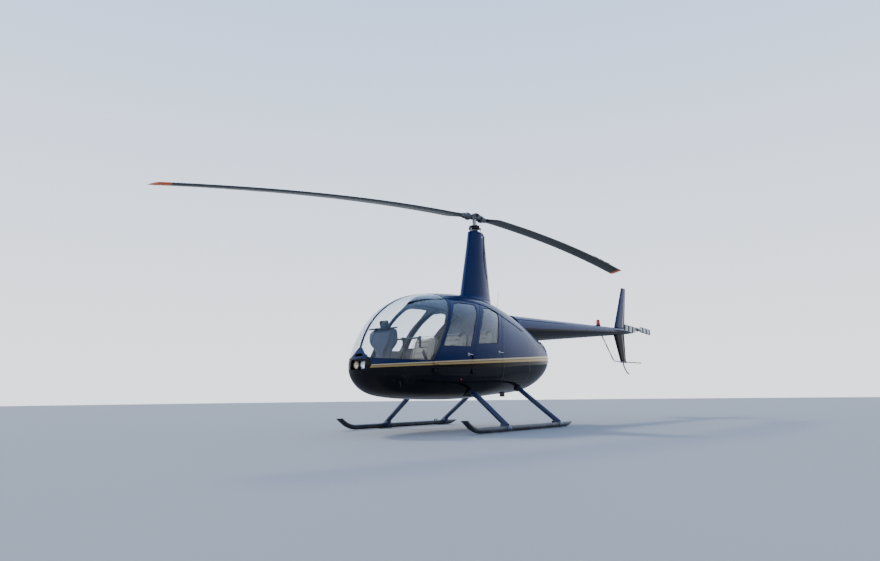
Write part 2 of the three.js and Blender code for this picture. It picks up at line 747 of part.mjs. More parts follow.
// Instrument console and the cyclic, a centre post with a bar across it.
const CONSOLE_SIDE = [
  [1780, FLOOR_TOP + SEAM], [2080, FLOOR_TOP + SEAM], [2130, 900], [2080, 1290, 40],
  [1940, 1310, 40], [1930, 1080], [1860, 900, 40],
];
place("console", acrossPrism(CONSOLE_SIDE, -150, 150), FINISHES.trim);
const STICK_BAR_HEIGHT = 1190;
const stick = joined(
  bar([1610, 0, FLOOR_TOP + SEAM], [1610, 0, FLOOR_TOP + 50], 32),
  bar([1611, 0, FLOOR_TOP + 30], [1640, 0, STICK_BAR_HEIGHT], 17, 8),
  bar([1640, -290, STICK_BAR_HEIGHT], [1640, 290, STICK_BAR_HEIGHT], 12, 8),
  bar([1640, -290, STICK_BAR_HEIGHT - 130], [1640, -290, STICK_BAR_HEIGHT + 20], 16, 8),
  bar([1640, 290, STICK_BAR_HEIGHT - 130], [1640, 290, STICK_BAR_HEIGHT + 20], 16, 8),
);
place("cyclic", stick, FINISHES.trim);

// Mast fairing: a tapering streamlined shell that stands on the roof, closed at its top.
const FAIRING_ROWS = [
  // z, front x, rear x, half width
  [1700, 380, -400, 160],
  [1890, 345, -362, 140],
  [2300, 258, -310, 118],
  [2700, 172, -262, 98],
  [2940, 126, -234, 88],
];
const FAIRING_SIDES = 20;
const FAIRING_WALL = 8;

function fairingRing([z, front, rear, half], inset) {
  const middle = (front + rear) / 2;
  const reach = (front - rear) / 2 - inset;
  return Array.from({ length: FAIRING_SIDES }, (_, k) => {
    const angle = (2 * Math.PI * k) / FAIRING_SIDES;
    const x = middle + reach * Math.cos(angle);
    const taper = 1 + 0.18 * Math.cos(angle); // fuller in front than behind
    return [x, (half - inset) * Math.sin(angle) * taper, z - inset];
  });
}
const fairingColumn = (inset) => loft(FAIRING_ROWS.map((row) => fairingRing(row, inset)));
const fairing = fairingColumn(0).subtract(fairingColumn(FAIRING_WALL)).subtract(body(-SEAM));
place("mast_fairing", fairing, FINISHES.blue);

// Rotor head: fixed mast tube with the lower swashplate, and the turning head above it.
const FAIRING_TOP = 2940;
const MAST_TUBE_RADIUS = 46;
const SHAFT_RADIUS = 30;
const SHAFT_PLAY = 0.8;
const PLATE_RADIUS = 88;
const PLATE_LOW = 2985;
const PLATE_GAP = 5;
const mastTube = joined(
  bar([0, 0, FAIRING_TOP + SEAM], [0, 0, PLATE_LOW + 20], MAST_TUBE_RADIUS, 20),
  bar([0, 0, PLATE_LOW], [0, 0, PLATE_LOW + 24], PLATE_RADIUS, 24),
).subtract(bar([0, 0, FAIRING_TOP + 20], [0, 0, 3100], SHAFT_RADIUS + SHAFT_PLAY, 20));
place("mast_tube", mastTube, FINISHES.steel);

const parked = radians(ROTOR_PARKED);
const TEETER = 0.0573; // slope of the hub's span line, forward end low
const DROOP = { root: 0.0222, bend: 1.34e-5 };
const BLADE_ROOT = 300;

// Height of a blade's pitch axis at a signed radius, positive for the forward blade.
function bladeHeight(radius) {
  const reach = Math.abs(radius);
  return HUB_HEIGHT - TEETER * radius - DROOP.root * reach - DROOP.bend * reach ** 2;
}

// A point of the rotor at rest, from its signed radius, its chordwise place and its height.
function rotorPoint(radius, chordwise, z) {
  const x = radius * Math.cos(parked) - chordwise * Math.sin(parked);
  const y = radius * Math.sin(parked) + chordwise * Math.cos(parked);
  return [x, y, z];
}

// Blade section: share of the chord behind the leading edge, and share of the thickness.
const BLADE_SECTION = [
  [0, 0], [0.04, 0.36], [0.15, 0.5], [0.35, 0.49], [0.7, 0.26], [1, 0.03],
  [1, -0.03], [0.7, -0.26], [0.35, -0.49], [0.15, -0.5], [0.04, -0.36],
];
const BLADE_THICKNESS = 31;
const PITCH_AXIS = 0.25;
const BLADE_STATIONS = 8;
const BLADE_PITCH = { root: -0.5, tip: -9 };

function blade(direction) {
  const rings = [];
  for (let i = 0; i <= BLADE_STATIONS; i += 1) {
    const reach = BLADE_ROOT + SEAM + ((ROTOR_RADIUS - BLADE_ROOT - SEAM) * i) / BLADE_STATIONS;
    const radius = direction * reach;
    const share = i / BLADE_STATIONS;
    const pitch = radians(BLADE_PITCH.root + (BLADE_PITCH.tip - BLADE_PITCH.root) * share);
    const height = bladeHeight(radius);
    const ring = BLADE_SECTION.map(([behind, thick]) => {
      const chordwise = (PITCH_AXIS - behind) * ROTOR_CHORD;
      const rise = thick * BLADE_THICKNESS;
      const turned = chordwise * Math.cos(pitch) - rise * Math.sin(pitch);
      const lift = chordwise * Math.sin(pitch) + rise * Math.cos(pitch);
      return rotorPoint(radius, direction * turned, height + lift);
    });
    rings.push(ring);
  }
  return loft(rings);
}
place("blade_forward", blade(1), FINISHES.blade);
place("blade_aft", blade(-1), FINISHES.blade);

// The head: shaft, upper swashplate, pitch links, teeter block and a grip for each blade.
const SHAFT_FOOT = FAIRING_TOP + 30;
const UPPER_PLATE_LOW = PLATE_LOW + 24 + PLATE_GAP;
const headParts = [
  bar([0, 0, SHAFT_FOOT], [0, 0, HUB_HEIGHT + 60], SHAFT_RADIUS, 12),
  bar([0, 0, UPPER_PLATE_LOW], [0, 0, UPPER_PLATE_LOW + 26], PLATE_RADIUS - 6, 16),
];
for (const direction of [1, -1]) {
  const gripEnd = rotorPoint(direction * BLADE_ROOT, 0, bladeHeight(direction * BLADE_ROOT));
  const gripFoot = rotorPoint(direction * 20, 0, bladeHeight(direction * 20));
  headParts.push(bar(gripFoot, gripEnd, 58, 10, 36));
  const linkFoot = rotorPoint(0, direction * 66, UPPER_PLATE_LOW + 13);
  const linkTop = rotorPoint(direction * 120, direction * 66, HUB_HEIGHT - 12);
  const horn = rotorPoint(direction * 120, 0, HUB_HEIGHT - 12);
  headParts.push(bar(linkFoot, linkTop, 9, 8));
  headParts.push(bar(horn, linkTop, 13, 8));
}
const teeterAxis = [rotorPoint(0, -85, HUB_HEIGHT + 22), rotorPoint(0, 85, HUB_HEIGHT + 22)];
headParts.push(bar(teeterAxis[0], teeterAxis[1], 34, 12));
const gripCut = [1, -1].map((direction) => {
  const inner = rotorPoint(direction * BLADE_ROOT, 0, bladeHeight(direction * BLADE_ROOT));
  const outer = rotorPoint(direction * (BLADE_ROOT + 80), 0, inner[2]);
  return bar(inner, outer, 120, 8);
});
const head = gripCut.reduce((rest, cutter) => rest.subtract(cutter), joined(...headParts));
place("rotor_head", head, FINISHES.steel);

// Tail surfaces.
const FIN_SECTION = [
  [0, 0], [0.06, 0.34], [0.3, 0.5], [0.65, 0.32], [1, 0.05],
  [1, -0.05], [0.65, -0.32], [0.3, -0.5], [0.06, -0.34],
];

// A fin ring in a level plane, from its leading and trailing edges.
function finRing(leading, trailing, z, thickness) {
  return FIN_SECTION.map(([behind, thick]) => [
    leading + (trailing - leading) * behind,
    thick * thickness,
    z,
  ]);
}
const upperFin = loft([
  finRing(-5010, -5535, 1785, 62),
  finRing(-5530, -5750, 2766, 34),
]).subtract(boomRoom);
place("fin_upper", upperFin, FINISHES.blue);
const GUARD_HEIGHT = 1136;
const GUARD_RADIUS = 11;
const GUARD_PATH = [[-4360, 0, 1680], [-4930, 0, GUARD_HEIGHT], [-6400, 0, GUARD_HEIGHT + 10]];
const GUARD_BEND = 90;
const lowerFin = loft([
  finRing(-4945, -5527, 1780, 60),
  finRing(-5270, -5550, GUARD_HEIGHT + 5, 36),
]).subtract(boomRoom).subtract(tube(GUARD_PATH, GUARD_RADIUS + SEAM, GUARD_BEND, 8, 3));
place("fin_lower", lowerFin, FINISHES.blue);
const STABILIZER = { leading: -4960, chord: 380, tip: -860, z: 1775, thickness: 42 };
const stabilizerRing = (y, sweep) =>
  FIN_SECTION.map(([behind, thick]) => [
    STABILIZER.leading - sweep - STABILIZER.chord * behind,
    y,
    STABILIZER.z + thick * STABILIZER.thickness,
  ]);
const stabilizer = loft([stabilizerRing(-20, 0), stabilizerRing(STABILIZER.tip, 0)]);
place("stabilizer", stabilizer.subtract(boomRoom), FINISHES.blue);

// The tail rotor's guard tube, with the tail skid under it.
const guard = joined(
  tube(GUARD_PATH, GUARD_RADIUS, GUARD_BEND, 8, 3),
  bar([-5392, 0, GUARD_HEIGHT - 10], [-5680, 0, 886], 12, 8),
).subtract(boomRoom);
place("tail_guard", guard, FINISHES.guard);

// Tail rotor gearbox on the boom's end, and the tail rotor on its left.
const TAIL_HUB = { x: -TAIL_ROTOR_ARM, y: 170, z: 1850 };
const TAIL_SHAFT_RADIUS = 16;
const TAIL_PARKED = radians(2.5); // the forward blade's rise
const hubLine = (fromY, toY, radius) =>
  bar([TAIL_HUB.x, fromY, TAIL_HUB.z], [TAIL_HUB.x, toY, TAIL_HUB.z], radius, 16);
const gearbox = joined(
  bar([BOOM_END + 20, 0, boomHeight(BOOM_END)], [-5830, 0, TAIL_HUB.z], 56, 16).subtract(
    block([BOOM_END - SEAM, -200, 1600], [BOOM_END + 200, 200, 2000]),
  ),
  hubLine(-75, 70, 72),
  hubLine(60, 128, 34),
).subtract(hubLine(75, 200, TAIL_SHAFT_RADIUS + SHAFT_PLAY));
place("tail_gearbox", gearbox, FINISHES.steel);

// A point of the tail rotor at rest, from its signed radius, its chordwise place and its y.
function tailPoint(radius, chordwise, y) {
  const x = TAIL_HUB.x + radius * Math.cos(TAIL_PARKED) - chordwise * Math.sin(TAIL_PARKED);
  const z = TAIL_HUB.z + radius * Math.sin(TAIL_PARKED) + chordwise * Math.cos(TAIL_PARKED);
  return [x, y, z];
}
const TAIL_BLADE_ROOT = 70;
const TAIL_BLADE_THICKNESS = 14;
const TAIL_PITCH_AXIS = 0.3;
const tailBlade = (direction) => {
  const ring = (reach) =>
    BLADE_SECTION.map(([behind, thick]) => {
      const chordwise = direction * (TAIL_PITCH_AXIS - behind) * TAIL_ROTOR_CHORD;
      return tailPoint(direction * reach, chordwise, TAIL_HUB.y + thick * TAIL_BLADE_THICKNESS);
    });
  return loft([ring(TAIL_BLADE_ROOT), ring(TAIL_ROTOR_RADIUS)]);
};
const tailRotor = joined(
  hubLine(85, TAIL_HUB.y + 22, TAIL_SHAFT_RADIUS),
  hubLine(TAIL_HUB.y - 18, TAIL_HUB.y + 18, 42),
  bar(tailPoint(-120, 0, TAIL_HUB.y), tailPoint(120, 0, TAIL_HUB.y), 13, 8),
  tailBlade(1),
  tailBlade(-1),
);
place("tail_rotor", tailRotor, FINISHES.tailBlade);

// Beacon on the boom and whip antenna on the roof.
const BEACON_X = -4260;
const beaconFoot = boomHeight(BEACON_X) + boomRadius(BEACON_X) - 20;
const beacon = bar([BEACON_X, 0, beaconFoot], [BEACON_X, 0, 1954], 42, 16, 34).subtract(boomRoom);
place("beacon", beacon, FINISHES.beacon);
const antenna = bar([-560, 0, 1700], [-640, 0, 2090], 5, 8, 2.5).subtract(body(-SEAM));
place("whip_antenna", antenna, FINISHES.rubber);

export default helicopter;
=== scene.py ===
"""A light four-seat helicopter parked on its skids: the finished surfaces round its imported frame.

Metres, +X the nose, +Y the aircraft's left, +Z up. Places are measured from the mast's axis,
as on the aircraft's own drawings, and put_mesh moves each mesh along X to where the frame has it.
"""

import json

import bpy
import numpy as np
from mathutils import Matrix, Vector, geometry


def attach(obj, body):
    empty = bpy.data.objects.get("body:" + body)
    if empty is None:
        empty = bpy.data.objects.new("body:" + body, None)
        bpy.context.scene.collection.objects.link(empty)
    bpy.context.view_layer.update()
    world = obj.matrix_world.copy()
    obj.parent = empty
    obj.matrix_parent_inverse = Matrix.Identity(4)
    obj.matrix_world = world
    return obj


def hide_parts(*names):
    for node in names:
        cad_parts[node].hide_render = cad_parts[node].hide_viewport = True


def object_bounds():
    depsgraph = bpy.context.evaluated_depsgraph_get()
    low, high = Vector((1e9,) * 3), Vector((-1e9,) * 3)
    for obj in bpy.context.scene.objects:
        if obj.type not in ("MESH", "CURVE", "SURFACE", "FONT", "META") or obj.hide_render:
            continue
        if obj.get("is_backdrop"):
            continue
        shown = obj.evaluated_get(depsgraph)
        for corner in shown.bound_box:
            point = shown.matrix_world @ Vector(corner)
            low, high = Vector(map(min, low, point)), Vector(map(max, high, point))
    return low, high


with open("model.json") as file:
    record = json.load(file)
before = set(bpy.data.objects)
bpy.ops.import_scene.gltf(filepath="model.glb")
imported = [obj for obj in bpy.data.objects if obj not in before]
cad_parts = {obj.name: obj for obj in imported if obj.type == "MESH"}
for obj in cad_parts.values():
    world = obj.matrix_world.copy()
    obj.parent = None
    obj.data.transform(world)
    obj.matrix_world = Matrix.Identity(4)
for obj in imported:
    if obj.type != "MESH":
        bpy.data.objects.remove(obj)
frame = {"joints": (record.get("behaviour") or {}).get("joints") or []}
cad_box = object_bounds()


# Skids: two aluminium tubes with upturned toes, painted dark blue and scuffed underneath, with
# steel wear shoes strapped on below the cross tubes and two lugs for the handling wheels.
MAST_X = next(j["pos_m"][0] for j in frame["joints"] if j["name"] == "main_rotor_spin")
SKID_Y = 1.061
SKID_RADIUS = 0.035
SKID_HEIGHT = 0.041
SKID_PATH = [(-0.76, SKID_HEIGHT), (-0.60, SKID_HEIGHT), (1.583, SKID_HEIGHT), (1.760, 0.168)]
SKID_BEND = 0.15
TOE_TOP = 0.168  # the toe is cut level, and the heel on a long slant
HEEL_FOOT, HEEL_SLANT = -0.6485, 2.85
HANDLING_LUGS = (-0.300, -0.352)
SHOE_STATIONS = (0.853, -0.5)
SHOE_HALF_LENGTH, SHOE_HALF_WIDTH, SHOE_THICK = 0.13, 0.02, 0.01
STRAP_PLACES, STRAP_HALF, STRAP_THICK = (-0.085, 0.085), 0.013, 0.0025
TUBE_SIDES = 40
SIDES = (("left", 1), ("right", -1))
SHARP_ANGLE = np.radians(38)


def put_mesh(name, form, material, stands_for=(), body="airframe"):
    """One finished piece from one form or a list of them, its points measured from the mast."""
    points, faces = together(form) if isinstance(form, list) else form
    places = np.asarray(points, float).reshape(-1, 3) + (MAST_X, 0, 0)
    mesh = bpy.data.meshes.new(name)
    mesh.from_pydata(places, [], [list(f) for f in faces])
    mesh.polygons.foreach_set("use_smooth", np.ones(len(mesh.polygons), bool))
    mesh.set_sharp_from_angle(angle=SHARP_ANGLE)
    for finish in material if isinstance(material, (list, tuple)) else [material]:
        mesh.materials.append(finish)
    obj = bpy.data.objects.new(name, mesh)
    bpy.context.scene.collection.objects.link(obj)
    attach(obj, body)
    if stands_for:
        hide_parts(*stands_for)
    return obj


def together(parts):
    """Several (points, faces) forms as one."""
    points, faces, start = [], [], 0
    for some, corners in parts:
        some = np.asarray(some, float).reshape(-1, 3)
        points.append(some)
        faces += [[start + c for c in face] for face in corners]
        start += len(some)
    return np.concatenate(points), faces


def loft(rings, capped=True):
    """Rings (n, m, 3) as a closed form: point k of ring i is joined to k + 1 and to ring i + 1."""
    rings = np.asarray(rings, float)
    n, m = rings.shape[:2]
    ring, side = np.meshgrid(np.arange(n - 1), np.arange(m), indexing="ij")
    after = (side + 1) % m
    quads = [ring * m + side, ring * m + after, (ring + 1) * m + after, (ring + 1) * m + side]
    faces = np.stack(quads, -1).reshape(-1, 4).tolist()
    if capped:
        faces += [list(range(m))[::-1], list(range((n - 1) * m, n * m))]
    return outward(rings.reshape(-1, 3), faces)


def outward(points, faces):
    """The same form with its faces turned out: the signed volume is the sum of a . (b x c)."""
    volume = 0.0
    for size in {len(f) for f in faces}:
        corners = points[np.array([f for f in faces if len(f) == size])]
        middle = corners[:, 1:-1], corners[:, 2:]
        volume += np.einsum("ij,ikj->", corners[:, 0], np.cross(*middle))
    return points, faces if volume > 0 else [f[::-1] for f in faces]


def unit(vectors):
    """The same directions, each with a length of one."""
    return vectors / np.linalg.norm(vectors, axis=-1, keepdims=True)


def full_turn(count):
    """Angles evenly spaced right round a circle."""
    return np.linspace(0, 2 * np.pi, count, endpoint=False)


def parabola(before, here, after, reach, share):
    """A corner rounded by the parabola that leaves one side and meets the other a reach away."""
    start = here + (before - here) * reach / np.linalg.norm(before - here)
    end = here + (after - here) * reach / np.linalg.norm(after - here)
    return (1 - share) ** 2 * start + 2 * share * (1 - share) * here + share**2 * end


def bent(corners, bend, steps=8):
    """A path through corners, each rounded by a parabola a bend long on each side."""
    corners = np.asarray(corners, float)
    share = np.linspace(0, 1, steps + 1)[:, None]
    path = [parabola(*three, bend, share) for three in zip(corners, corners[1:], corners[2:])]
    return np.concatenate([corners[:1], *path, corners[-1:]])


def directions(path):
    """The path's unit tangents, and two unit vectors across it that turn as little as they can."""
    ahead = unit(np.gradient(path, axis=0))
    side = np.cross(ahead[0], ahead[-1])
    if np.linalg.norm(side) < 1e-6:
        side = np.cross(ahead[0], (0, 1, 0) if abs(ahead[0, 1]) < 0.9 else (1, 0, 0))
    side = unit(side - ahead * (ahead @ side)[:, None])
    return ahead, side, np.cross(ahead, side)


def rod(path, radius, sides=24, rounded=0.0, flat=1.0):
    """A round bar along a path: centre + radius (cos a side + flat sin a other) for each ring.

    A rounded end adds rings whose radius falls by a quarter circle of that depth.
    """
    path = np.asarray(path, float)
    radius = np.broadcast_to(radius, len(path)).astype(float)
    if rounded:
        turn = np.linspace(0, np.pi / 2, 5)[:-1]
        ends = []
        for end, inner in ((path[0], path[1]), (path[-1], path[-2])):
            ends.append(end + unit(inner - end) * (rounded * (1 - np.cos(turn)))[:, None])
        drop = rounded * (1 - np.sin(turn))
        path = np.concatenate([ends[0], path[1:-1], ends[1][::-1]])
        radius = np.concatenate([radius[0] - drop, radius[1:-1], (radius[-1] - drop)[::-1]])
    _, side, other = directions(path)
    angle = full_turn(sides)[:, None]
    across = np.cos(angle) * side[:, None] + flat * np.sin(angle) * other[:, None]
    return loft(path[:, None] + radius[:, None, None] * across)


def slab(low, high, edge=0.003):
    """A block between two corners, all its edges chamfered: four eight-sided rings up it."""
    low, high = np.array(low, float), np.array(high, float)
    rings = []
    for z, inset in ((low[2], edge), (low[2] + edge, 0), (high[2] - edge, 0), (high[2], edge)):
        (x, y), (far_x, far_y) = low[:2] + inset, high[:2] - inset
        ring = [(x + edge, y), (far_x - edge, y), (far_x, y + edge), (far_x, far_y - edge),
                (far_x - edge, far_y), (x + edge, far_y), (x, far_y - edge), (x, y + edge)]
        rings.append([(u, v, z) for u, v in ring])
    return loft(rings)


def lathe(profile, centre, axis="z", sides=48):
    """A turned form: each (along, radius) of the profile is swept round the axis."""
    profile = np.asarray(profile, float)
    angle = full_turn(sides)
    along = np.repeat(profile[:, :1], sides, 1)
    round_a, round_b = profile[:, 1:] * np.cos(angle), profile[:, 1:] * np.sin(angle)
    order = {"x": (along, round_a, round_b), "y": (round_b, along, round_a),
             "z": (round_a, round_b, along)}[axis]
    return loft(np.stack(order, -1) + np.asarray(centre, float))


def node_group(name, inputs, outputs):
    """A shader group with named sockets: inputs and outputs are (name, kind, value) rows."""
    tree = bpy.data.node_groups.new(name, "ShaderNodeTree")
    for label, kind, value in inputs:
        socket = tree.interface.new_socket(label, in_out="INPUT", socket_type="NodeSocket" + kind)
        if value is not None:
            socket.default_value = value
    for label, kind, _ in outputs:
        tree.interface.new_socket(label, in_out="OUTPUT", socket_type="NodeSocket" + kind)
    return tree, tree.nodes.new("NodeGroupInput"), tree.nodes.new("NodeGroupOutput")


def feed(tree, socket, source):
    """Links a socket to the output that feeds it, or gives it a plain value."""
    if isinstance(source, bpy.types.NodeSocket):
        tree.links.new(source, socket)
    else:
        socket.default_value = source


def add_node(tree, kind, links=None, **settings):
    """A node with its settings; links feeds its inputs, by name or number."""
    node = tree.nodes.new("ShaderNode" + kind)
    for key, value in settings.items():
        setattr(node, key, value)
    for key, source in (links or {}).items():
        feed(tree, node.inputs[key], source)
    return node


def maths(tree, operation, *sources, clamp=False):
    """A Math node's result."""
    links = dict(enumerate(sources))
    return add_node(tree, "Math", links, operation=operation, use_clamp=clamp).outputs[0]


def blend_colours(tree, share, *colours):
    """Two colours mixed by a mask, the second where it is 1; each is a socket or three shares."""
    under, over = (c if isinstance(c, bpy.types.NodeSocket) else (*c, 1) for c in colours)
    links = {0: share, 6: under, 7: over}
    return add_node(tree, "Mix", links, data_type="RGBA").outputs[2]


def noise(tree, where, scale, detail=3.0, roughness=0.55):
    """Noise of a scale given in cells per metre, from 0 to 1."""
    links = {"Vector": where, "Scale": scale, "Detail": detail, "Roughness": roughness}
    return add_node(tree, "TexNoise", links).outputs["Fac"]


def rising(tree, value, low, high):
    """0 below low and 1 above high, smooth in between."""
    links = {"Value": value, "From Min": low, "From Max": high}
    node = add_node(tree, "MapRange", links, interpolation_type="SMOOTHSTEP")
    return node.outputs["Result"]


def object_place(tree):
    """The place on the piece, in the frame's own metres."""
    return add_node(tree, "TexCoord").outputs["Object"]


def wear_group():
    """Film of dust and small scuffs: masks from noise, more of both towards a given height."""
    tree, given, out = node_group(
        "weathering",
        [("Colour", "Color", (0.5, 0.5, 0.5, 1)), ("Roughness", "Float", 0.3),
         ("Dust", "Float", 0.2), ("Dusty height", "Float", 0.4), ("Scuffs", "Float", 0.0),
         ("Grain", "Float", 400.0)],
        [("Colour", "Color", None), ("Roughness", "Float", None), ("Height", "Float", None)],
    )
    where = object_place(tree)
    height = add_node(tree, "SeparateXYZ", {0: where}).outputs[2]
    clouds = noise(tree, where, 5.0, 5.0)
    fine = noise(tree, where, given.outputs["Grain"], 2.0)
    low = maths(tree, "SUBTRACT", 1.0, maths(tree, "DIVIDE", height, given.outputs[3]), clamp=True)
    film = maths(tree, "MULTIPLY", maths(tree, "ADD", 0.25, low), rising(tree, clouds, 0.3, 0.75))
    film = maths(tree, "MULTIPLY", film, given.outputs["Dust"], clamp=True)
    speck = rising(tree, noise(tree, where, 60.0, 4.0, 0.7), 0.58, 0.66)
    speck = maths(tree, "MULTIPLY", speck, rising(tree, clouds, 0.45, 0.6))
    speck = maths(tree, "MULTIPLY", speck, given.outputs["Scuffs"], clamp=True)
    colour = blend_colours(tree, film, given.outputs["Colour"], (0.32, 0.29, 0.25))
    colour = blend_colours(tree, speck, colour, (0.36, 0.36, 0.37))
    rough = maths(tree, "ADD", given.outputs["Roughness"], maths(tree, "MULTIPLY", film, 0.5))
    rough = maths(tree, "ADD", rough, maths(tree, "MULTIPLY", speck, 0.25), clamp=True)
    rough = maths(tree, "ADD", rough, maths(tree, "MULTIPLY", fine, 0.04), clamp=True)
    tree.links.new(colour, out.inputs["Colour"])
    tree.links.new(rough, out.inputs["Roughness"])
    tree.links.new(maths(tree, "ADD", fine, maths(tree, "MULTIPLY", speck, -0.6)), out.inputs[2])
    return tree


WEATHERING = wear_group()


def use_group(tree, group, **values):
    """A group placed in a material, its inputs given by name with _ for each blank."""
    node = tree.nodes.new("ShaderNodeGroup")
    node.node_tree = group
    for key, value in values.items():
        feed(tree, node.inputs[key.replace("_", " ")], value)
    return node


def new_material(name, colour, alpha=1):
    """A material with its node tree and its shader; the colour is for plain viewports."""
    material = bpy.data.materials.new(name)
    material.use_nodes = True
    material.diffuse_color = (*colour, alpha)
    return material, material.node_tree, material.node_tree.nodes["Principled BSDF"]


def finish_of(name, colour, roughness, bump=0.02, dust=0.15, dusty_height=0.5, scuffs=0.0,
              grain=400.0, colour_from=None, **constants):
    """A painted, cast or moulded surface: weathered colour, roughness and a fine bump."""
    material, tree, shader = new_material(name, colour)
    source = colour_from(tree) if colour_from else (*colour, 1)
    worn = use_group(tree, WEATHERING, Colour=source, Roughness=roughness, Dust=dust,
                     Dusty_height=dusty_height, Scuffs=scuffs, Grain=grain)
    raised = {"Height": worn.outputs["Height"], "Strength": bump, "Distance": 0.001}
    relief = add_node(tree, "Bump", raised).outputs[0]
    inputs = {"Base Color": worn.outputs["Colour"], "Roughness": worn.outputs["Roughness"],
              "Normal": relief, **constants}
    for key, value in inputs.items():
        feed(tree, shader.inputs[key.replace("_", " ")], value)
    return material


GEAR_PAINT = finish_of("gear_paint", (0.009, 0.022, 0.085), 0.34, bump=0.15, dust=0.12,
                       dusty_height=0.35, scuffs=0.5, Coat_Weight=0.3, Coat_Roughness=0.2)
SKID_PAINT = finish_of("skid_paint", (0.005, 0.007, 0.014), 0.36, bump=0.2, dust=0.10,
                       dusty_height=0.12, scuffs=0.7, Coat_Weight=0.2, Coat_Roughness=0.25)
BLACK_RUBBER = finish_of("black_rubber", (0.018, 0.018, 0.02), 0.72, bump=0.3, dust=0.25)
BARE_STEEL = finish_of("bare_steel", (0.46, 0.46, 0.47), 0.34, bump=0.1, dust=0.15,
                       grain=900.0, Metallic=1.0)


def bolt_heads(places, radius, height, axis="z", sides=6):
    """Low hexagonal heads at the given places, as one form."""
    profile = [(0, radius), (height * 0.7, radius), (height, radius * 0.75)]
    return together([lathe(profile, place, axis, sides) for place in places])


for side, sign in SIDES:
    path = [(x, sign * SKID_Y, z) for x, z in SKID_PATH]
    route = np.concatenate([[path[0]], bent(path[1:], SKID_BEND, 12)])
    tube = rod(route, SKID_RADIUS, TUBE_SIDES)
    ends = tube[0].reshape(len(route), TUBE_SIDES, 3)
    ends[0, :, 0] = HEEL_FOOT - HEEL_SLANT * ends[0, :, 2]
    toe = unit(route[-1] - route[-2])
    ends[-1] += toe * ((TOE_TOP - ends[-1, :, 2]) / toe[2])[:, None]
    shoes, fittings = [], []
    for x in SHOE_STATIONS:
        shoes.append(slab((x - SHOE_HALF_LENGTH, sign * SKID_Y - SHOE_HALF_WIDTH, 0.0),
                          (x + SHOE_HALF_LENGTH, sign * SKID_Y + SHOE_HALF_WIDTH, SHOE_THICK)))
        for near in STRAP_PLACES:
            strap = [(x + near + half, sign * SKID_Y, SKID_HEIGHT)
                     for half in (-STRAP_HALF, STRAP_HALF)]
            fittings.append(rod(strap, SKID_RADIUS + STRAP_THICK, TUBE_SIDES))
    for x in HANDLING_LUGS:
        lug = np.array((x, sign * (SKID_Y + 0.004), SKID_HEIGHT + SKID_RADIUS))
        fittings.append(slab(lug - (0.009, 0.006, 0.012), lug + (0.009, 0.006, 0.022), 0.002))
        fittings.append(rod([lug + (0, -0.012, 0.014), lug + (0, 0.012, 0.014)], 0.0055, 16))
    put_mesh("skid_tube_" + side, tube, SKID_PAINT, ["skid_" + side])
    put_mesh("skid_shoes_" + side, shoes, BARE_STEEL)
    put_mesh("skid_straps_" + side, fittings, SKID_PAINT)


# Cross tubes: one arched steel tube across the belly at each station, without leg fairings, let
# into saddles that are bolted round the skids. Dark blue paint, dusty near the ground.
# x, height of the middle span, rise of a leg for each unit inwards
CROSS_TUBES = {"front": (0.853, 0.50, 0.82), "rear": (-0.5, 0.60, 0.736)}
STRUT_FOOT = 0.07
STRUT_RADIUS = 0.036
STRUT_SIDES = 36
LEG_BEND, BEND_STEPS = 0.11, 12
BOLT_SPREAD = (-0.035, 0.035)


def leg_path(x, middle, slope, sign):
    """Foot, bend and middle of one leg's centre line."""
    inside = SKID_Y - (middle - STRUT_FOOT) / slope
    return np.array([(x, sign * SKID_Y, STRUT_FOOT), (x, sign * inside, middle), (x, 0, middle)])


for name, (x, middle, slope) in CROSS_TUBES.items():
    left, right = leg_path(x, middle, slope, 1), leg_path(x, middle, slope, -1)
    arch = bent([left[0], left[1], right[1], right[0]], LEG_BEND, BEND_STEPS)
    arch[:, 2] = np.maximum(arch[:, 2], SKID_HEIGHT + 0.02)
    put_mesh("cross_tube_tube_" + name, rod(arch, STRUT_RADIUS, STRUT_SIDES, rounded=0.004),
             GEAR_PAINT, ["cross_tube_" + name])
    saddles, bolts = [], []
    for sign in (1, -1):
        foot = np.array((x, sign * SKID_Y, SKID_HEIGHT))
        inward = np.array((0, -sign, slope)) / np.hypot(1, slope)
        collar = [foot + inward * 0.035, foot + inward * 0.06, foot + inward * 0.1]
        saddles.append(rod(collar, (0.043, 0.042, 0.0385), STRUT_SIDES, rounded=0.003))
        around = [foot + (-0.055, 0, 0), foot + (0.055, 0, 0)]
        saddles.append(rod(around, SKID_RADIUS + 0.005, STRUT_SIDES, rounded=0.003))
        heads = [foot + (near, sign * (SKID_RADIUS + 0.003), 0.004) for near in BOLT_SPREAD]
        bolts.append(bolt_heads(heads, 0.008, sign * 0.007, "y"))
    put_mesh("saddles_" + name, saddles, GEAR_PAINT)
    put_mesh("saddle_bolts_" + name, bolts, BARE_STEEL)


